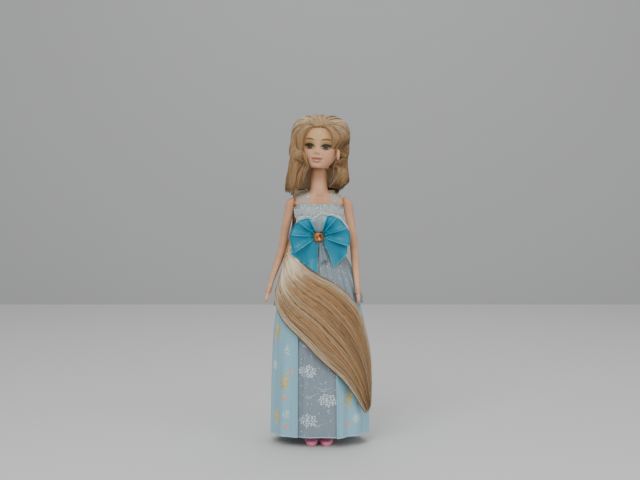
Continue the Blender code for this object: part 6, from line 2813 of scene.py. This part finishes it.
@dataclass
class Bow(Maker):
    """The ribbon bow with its sheer second bow, its tails, its knot and its stone.

    Attributes:
        z: Height of its middle.
        reach: From the middle to the end of a loop.
        back_y: Where its back is.
        depth: Its depth.
        ribbon: Thickness of the ribbon.
        gem_size: Size of the stone.
        gem_turn: Turn of the stone, in degrees.
        snug: Size of the drawn setting, as a share of its solid.
        knot_size: Half the knot's width and height.
        veil_y: How far in front of the doll's axis the sheer bow lies, at the middle and outwards.
        hangs: How far in front of the doll's axis the tails hang at least.
        lies: Distance of the tails from the skirt's plain surface.
    """

    z: float = 0.1895
    reach: float = 0.0258
    back_y: float = -0.0146
    depth: float = 0.0054
    ribbon: float = 0.0005
    gem_size: float = 0.0082
    gem_turn: float = 12.0
    snug: float = 0.88
    knot_size: tuple[float, float] = (0.0040, 0.0048)
    veil_y: tuple[float, float] = (0.0142, 0.0189)
    hangs: float = 0.0192
    lies: float = 0.00415

    # along the ribbon, outwards, forwards
    LOOP = [
        (0, 0.12, 0.55), (0.2, 0.37, 1.4), (0.4, 0.66, 2.05), (0.58, 0.92, 2.0),
        (0.68, 1, 1.6), (0.78, 0.9, 1.3), (0.9, 0.6, 1.2), (1, 0.3, 1.12),
    ]
    # across the ribbon from its lower edge, direction in degrees from straight out, reach
    FAN = {
        Side.RIGHT: [(-1, -33, 0.99), (-0.45, -10, 0.96), (0.1, 14, 0.93), (0.55, 40, 0.84), (1, 66, 0.67)],
        Side.LEFT: [(-1, -17, 1.04), (-0.4, 5, 1.03), (0.1, 22, 0.95), (0.55, 46, 0.88), (1, 71, 0.76)],
    }
    RIDGES = {Side.RIGHT: (-1.0, -0.1, 0.52, 1.0), Side.LEFT: (-1.0, 0.0, 0.62, 1.0)}
    # direction in degrees from the doll's left, reach of the sheer bow
    VEIL = [
        (-24, 0.98), (12, 1.04), (31, 0.99), (46, 0.96), (57, 0.89), (71, 0.80), (85, 0.79), (96, 0.68),
        (105, 0.64), (118, 0.77), (128, 0.89), (144, 0.93), (156, 0.89), (170, 0.84), (208, 0.82),
    ]
    # ends of each tail's upper and of its lower edge, sideways and upwards in shares of the reach
    TAILS = {
        Side.RIGHT: [(-0.5, -0.1), (-0.06, -0.2), (-0.98, -0.60), (-0.06, -1.24)],
        Side.LEFT: [(0.12, -0.03), (0.99, -0.12), (0.53, -1.06), (0.97, -0.58)],
    }
    # depth in millimetres, reach as a share, twist in degrees of the stone's rings from the back
    STONE = [(0.0, 0.35, 0.0), (1.2, 0.97, 0.0), (1.45, 1.0, 0.0), (1.9, 0.90, 22.5), (2.4, 0.60, 0.0)]

    def build(self) -> list[Piece]:
        """Builds all its pieces.

        Returns:
            The pieces.
        """
        stiff = []
        for side in Side:
            stiff += self.loop(side)
        stiff += [*self.veil(), self.knot(), self.setting(), self.stone()]
        hanging = [*self.tail(Side.RIGHT), *self.tail(Side.LEFT), self.small_tail()]
        for piece in stiff:
            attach(piece, Body.TORSO.value)
        return stiff + [bend_with_legs(piece) for piece in hanging]

    def loop_point(self, u: float, v: float, side: Side) -> Vector:
        """A point of a ribbon loop.

        Args:
            u: Along the ribbon, out and back, from 0 to 1.
            v: From -1 at its lower edge to 1 at its upper one.
            side: Its side.

        Returns:
            The point.
        """
        out, forward = read_rows(self.LOOP, u)
        degrees, reach = read_rows(self.FAN[side], v)
        ridges = self.RIDGES[side]
        k = max(i for i in range(len(ridges) - 1) if v >= ridges[i] or i == 0)
        lobe = math.sin(math.pi * (v - ridges[k]) / (ridges[k + 1] - ridges[k]))
        front = ease(0.12, 0.45, out) * (1 - ease(0.62, 0.70, u))
        fold = 0.0030 * max(0.0, lobe) ** 0.7 * front
        far = self.reach * reach * out
        turn = math.radians(degrees)
        x = side.value * (far * math.cos(turn) + 0.0008)
        y = self.back_y - self.depth * forward + fold - 0.0006 * front
        return Vector((x, y, self.z + far * math.sin(turn)))

    def loop(self, side: Side) -> list[Piece]:
        """One loop, with lighter cords along its edges and fold crests: painted highlights, along the edges partly the
        ribbon's own edge thread.

        Args:
            side: Its side.

        Returns:
            The pieces.
        """
        name, node = "bow_ribbon_" + side.word, "bow_loop_" + side.word
        cloth = Cloth(name, (96, 110), (0.032, 0.055), self.ribbon, self.finishes.ribbon, "turquoise_satin", node)
        piece = cloth.lay(lambda u, v: self.loop_point(v, mix(-1, 1, u), side))
        declare_sheet(piece, 0.032, Held.FOLDED, "bow_knot_cloth")
        edges = [cord_ring("edge", [self.loop_point(i / 80, v, side) for i in range(81)], 0.00036) for v in (-1, 1)]
        before = Vector((0, -0.00022, 0))
        # cords along the fold crests in lighter turquoise: painted highlights
        for v in self.RIDGES[side][1:-1]:
            line = [self.loop_point(mix(0.03, 0.64, i / 45), v, side) + before for i in range(46)]
            edges.append(cord_ring("ridge", line, 0.00026))
        return [piece, dress(join(name + "_edges", edges), self.finishes.ribbon_edge)]

    def veil_point(self, u: float, v: float) -> Vector:
        """A point of the sheer second bow.

        Args:
            u: From 0 at the doll's left, over the top, to 1 at its right.
            v: From 0 near the knot to 1 at the edge.

        Returns:
            The point.
        """
        degrees = mix(-24, 208, u)
        ripple = math.cos(degrees * 0.32) * v
        reach = read_rows(self.VEIL, degrees)[0] * self.reach * mix(0.14, 1, v) * (1 + 0.012 * ripple)
        turn = math.radians(degrees)
        x = reach * math.cos(turn)
        y = -mix(*self.veil_y, ease(0.0040, 0.0085, abs(x))) - 0.00045 * ripple
        return Vector((x, y, self.z + reach * math.sin(turn)))

    def veil(self) -> list[Piece]:
        """The sheer second bow and its white edge.

        Returns:
            The pieces.
        """
        cloth = Cloth("veil_cloth", (150, 40), (0.095, 0.024), 0.0002, self.finishes.sheer, "sheer_organza", "bow_veil")
        piece = declare_sheet(cloth.lay(self.veil_point), 0.050, Held.FOLDED, "bow_knot_cloth")
        edge = cord_ring("veil_edge", [self.veil_point(i / 160, 1) for i in range(161)], 0.0004)
        return [piece, dress(edge, self.finishes.white_edge)]

    def tail_point(self, u: float, v: float, side: Side) -> Vector:
        """A point of a ribbon end.

        Args:
            u: Across the ribbon, from 0 to 1.
            v: From 0 at its upper edge to 1 at its lower one.
            side: Its side.

        Returns:
            The point.
        """
        top_a, top_b, low_a, low_b = self.TAILS[side]
        x, up = (mix(mix(top_a[i], top_b[i], u), mix(low_a[i], low_b[i], u), v) * self.reach for i in (0, 1))
        z = self.z + up
        width, depth = skirt_sizes(min(z, WAIST_Z))[:2]
        inside = max(0.0, 1 - (abs(x) / width) ** SKIRT_ROUNDNESS) ** (1 / SKIRT_ROUNDNESS)
        bend = 0.0012 * math.cos(u * math.tau * 1.2 + 0.5) * ease(0.25, 1, v)
        return Vector((x, -max(depth * inside + self.lies, self.hangs) - self.ribbon / 2 - bend, z))

    def tail(self, side: Side) -> list[Piece]:
        """One ribbon end, with lighter cords along its edges: painted highlights, partly the ribbon's own edge thread.

        Args:
            side: Its side.

        Returns:
            The pieces.
        """
        name, node = "bow_end_" + side.word, "bow_tail_" + side.word
        cloth = Cloth(name, (44, 60), (0.022, 0.026), self.ribbon, self.finishes.ribbon, "turquoise_satin", node)
        piece = cloth.lay(lambda u, v: self.tail_point(u, v, side))
        declare_sheet(piece, 0.016, Held.FOLDED, "bow_knot_cloth")
        lines = [[self.tail_point(u, i / 40, side) for i in range(41)] for u in (0, 1)]
        lines.append([self.tail_point(i / 30, 1, side) for i in range(31)])
        edge = join(name + "_edges", [cord_ring("edge", line, 0.00032) for line in lines])
        return [piece, dress(edge, self.finishes.ribbon_edge)]

    def small_tail_point(self, u: float, v: float) -> Vector:
        """A point of the small organza end.

        Args:
            u: Across it, from 0 to 1.
            v: From 0 at the knot to 1 at its end.

        Returns:
            The point.
        """
        x = 0.0016 + mix(-0.0012, 0.0012, u) * (1 + 2.2 * v) + 0.0022 * v
        z = self.z - 0.0056 - 0.0165 * v - 0.0016 * math.cos(u * 4) * v
        return Vector((x, -0.0232 - 0.0006 * v + 0.0007 * math.cos(u * 12), z))

    def small_tail(self) -> Piece:
        """The small end of pale organza under the knot.

        Returns:
            The small end.
        """
        cloth = Cloth("organza_end", (24, 30), (0.005, 0.012), 0.0002, self.finishes.frill)
        return declare_sheet(cloth.lay(self.small_tail_point), 0.010, Held.FOLDED, "bow_knot_cloth")

    def knot_point(self, u: float, v: float) -> Vector:
        """A point of the knot.

        Args:
            u: Turn round it, from 0 to 1.
            v: From 0 at its back to 1 at its front.

        Returns:
            The point.
        """
        wide, tall = self.knot_size
        x, z = oval(math.tau * u, wide, tall, tall, 3.5)
        size = mix(0.55, 1, ease(0, 0.25, v)) * mix(1, 0.72, ease(0.72, 1, v))
        size *= 1 + 0.03 * math.cos(u * math.tau * 9)
        return Vector((x * size, self.back_y - self.depth * v, self.z + z * size))

    def knot(self) -> Piece:
        """The wrapped knot behind the stone.

        Returns:
            The knot.
        """
        piece = grid_piece("bow_knot_cloth", 90, 26, self.knot_point, wrap=True)
        close_ends(scale_uv(piece, (0.028, 0.006)))
        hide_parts("bow_knot")
        return dress(piece, self.finishes.ribbon, "turquoise_satin")

    def setting(self) -> Piece:
        """The claw setting, drawn a little smaller than its solid.

        Returns:
            The setting.
        """
        setting = node_copy("gem_setting", "stone_setting")
        for vertex in setting.data.vertices:
            vertex.co.x *= self.snug
            vertex.co.z = self.z + (vertex.co.z - self.z) * self.snug
        soft = setting.modifiers.new("soft edges", "BEVEL")
        soft.width = 0.00012
        soft.segments = 2
        soft.limit_method = "ANGLE"
        smooth(apply_modifiers(setting), 30)
        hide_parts("gem_setting")
        return dress(setting, self.finishes.gold, "gold_plate")

    def stone(self) -> Piece:
        """The square stone with its facets.

        Returns:
            The stone.
        """
        base_y = self.back_y - self.depth - 0.0015
        size = self.gem_size / 2 * 0.93
        points, faces = [], []
        for depth, share, twist in self.STONE:
            for k in range(8):
                degrees = 45 * k + 22.5 + twist
                turn, way = math.radians(degrees), math.radians(degrees + self.gem_turn)
                square = (0.96 if twist else 1.0) / max(abs(math.cos(turn)), abs(math.sin(turn)))
                reach = size * share * min(square, 1.3)
                points.append((reach * math.cos(way), base_y - depth * 0.001, self.z + reach * math.sin(way)))
        last = len(points) - 8
        for low in range(0, last, 8):
            for k in range(8):
                j = (k + 1) % 8
                faces += [(low + k, low + j, low + 8 + j), (low + k, low + 8 + j, low + 8 + k)]
        faces.append(tuple(range(7, -1, -1)))
        faces += [(last + k, last + (k + 1) % 8, len(points)) for k in range(8)]
        points.append((0.0001, base_y - 0.0025, self.z))
        stone = face_out(mesh_piece("faceted_stone", points, faces))
        values = stone.data.attributes.new("facet", "FLOAT", "FACE")
        chance = random.Random(3)
        # painted light inside the stone: facets lighter towards the doll's right and the bottom, with random
        # differences between them and a painted spark low and a little to the doll's left
        for item, face in zip(values.data, stone.data.polygons):
            x, z = face.center.x / size, (face.center.z - self.z) / size
            item.value = max(0.0, 0.28 - 0.22 * (x + z) + chance.uniform(-0.16, 0.16))
            if math.hypot(x - 0.1, z + 0.45) < 0.28:
                item.value = 0.95
        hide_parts("gem")
        return dress(stone, self.finishes.stone, "amber_gem")


# Stage


@dataclass
class Stage:
    """Pale floor and backdrop, soft light and the camera.

    Attributes:
        distance: From the camera to the doll.
        pitch: How far the camera looks down, in degrees.
        middle: The picture's middle at the doll, sideways and upwards.
        scale: Metres in a pixel at the doll.
        sensor: Width of the camera's sensor, in millimetres.
    """

    distance: float = 1.104
    pitch: float = 4.95
    middle: tuple[float, float] = (0.0009, 0.1847)
    scale: float = 0.000904
    sensor: float = 36

    # name, place, height looked at, size, power
    LAMPS = [
        ("key", (-0.35, -0.95, 0.95), 0.16, 0.8, 11),
        ("fill", (0.75, -0.8, 0.45), 0.15, 0.9, 4.5),
        ("top", (0.1, 0.25, 1.1), 0.15, 0.8, 5),
    ]

    def build(self) -> None:
        """Builds the stage."""
        select_only()
        bpy.ops.mesh.primitive_plane_add(size=14, location=(0, 0, 0))
        floor = named("floor")
        bpy.ops.mesh.primitive_plane_add(size=14, location=(0, 0.9, 3), rotation=(math.radians(90), 0, 0))
        wall = named("backdrop")
        for piece, colour in ((floor, (0.60, 0.61, 0.61)), (wall, (0.40, 0.41, 0.41))):
            material, nodes, shader = start_material(piece.name + "_paint")
            nodes.fill(shader, {"Base Color": colour, "Roughness": 0.9})
            dress(piece, material)
        for lamp in self.LAMPS:
            self.lamp(*lamp)
        world = bpy.data.worlds.new("soft_room")
        bpy.context.scene.world = world
        world.use_nodes = True
        light = {"Color": (1.0, 0.99, 0.96), "Strength": 0.55}
        Nodes(world.node_tree).fill(world.node_tree.nodes["Background"], light)
        self.camera()

    def lamp(self, name: str, place: Row, height: float, size: float, power: float) -> None:
        """Adds one soft lamp.

        Args:
            name: Its name.
            place: Where it stands.
            height: The height on the doll that it looks at.
            size: Its width.
            power: Its power in watts.
        """
        bpy.ops.object.light_add(type="AREA", location=place)
        lamp = bpy.context.view_layer.objects.active
        lamp.name = name
        lamp.data.size = size
        lamp.data.energy = power
        lamp.rotation_euler = (Vector((0, 0, height)) - Vector(place)).to_track_quat("-Z", "Y").to_euler()

    def camera(self) -> None:
        """Adds the camera at the photo's angle."""
        data = bpy.data.cameras.new("camera")
        data.sensor_width = self.sensor
        data.lens = self.sensor * self.distance / (640 * self.scale)
        data.clip_start = 0.01
        camera = add_object("camera", data)
        tilt = math.radians(self.pitch)
        target = Vector((self.middle[0], 0, self.middle[1]))
        camera.location = target + Vector((0, -math.cos(tilt), math.sin(tilt))) * self.distance
        camera.rotation_euler = (math.radians(90) - tilt, 0, 0)
        bpy.context.scene.camera = camera


def main() -> None:
    """Builds the doll from the inside out, then the stage, and logs each piece."""
    logging.basicConfig(level=logging.INFO, format="%(message)s")
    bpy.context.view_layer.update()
    finishes = Finishes()
    head = Head(finishes)
    hair = (HeadHair(finishes, head), LongHair(finishes))
    for part in (BodyParts(finishes), head, Bodice(finishes), Skirt(finishes), Bow(finishes), *hair):
        for piece in part.build():
            log.info("%s: %d faces", piece.name, len(piece.data.polygons))
    Stage().build()


if __name__ == "__main__":
    main()
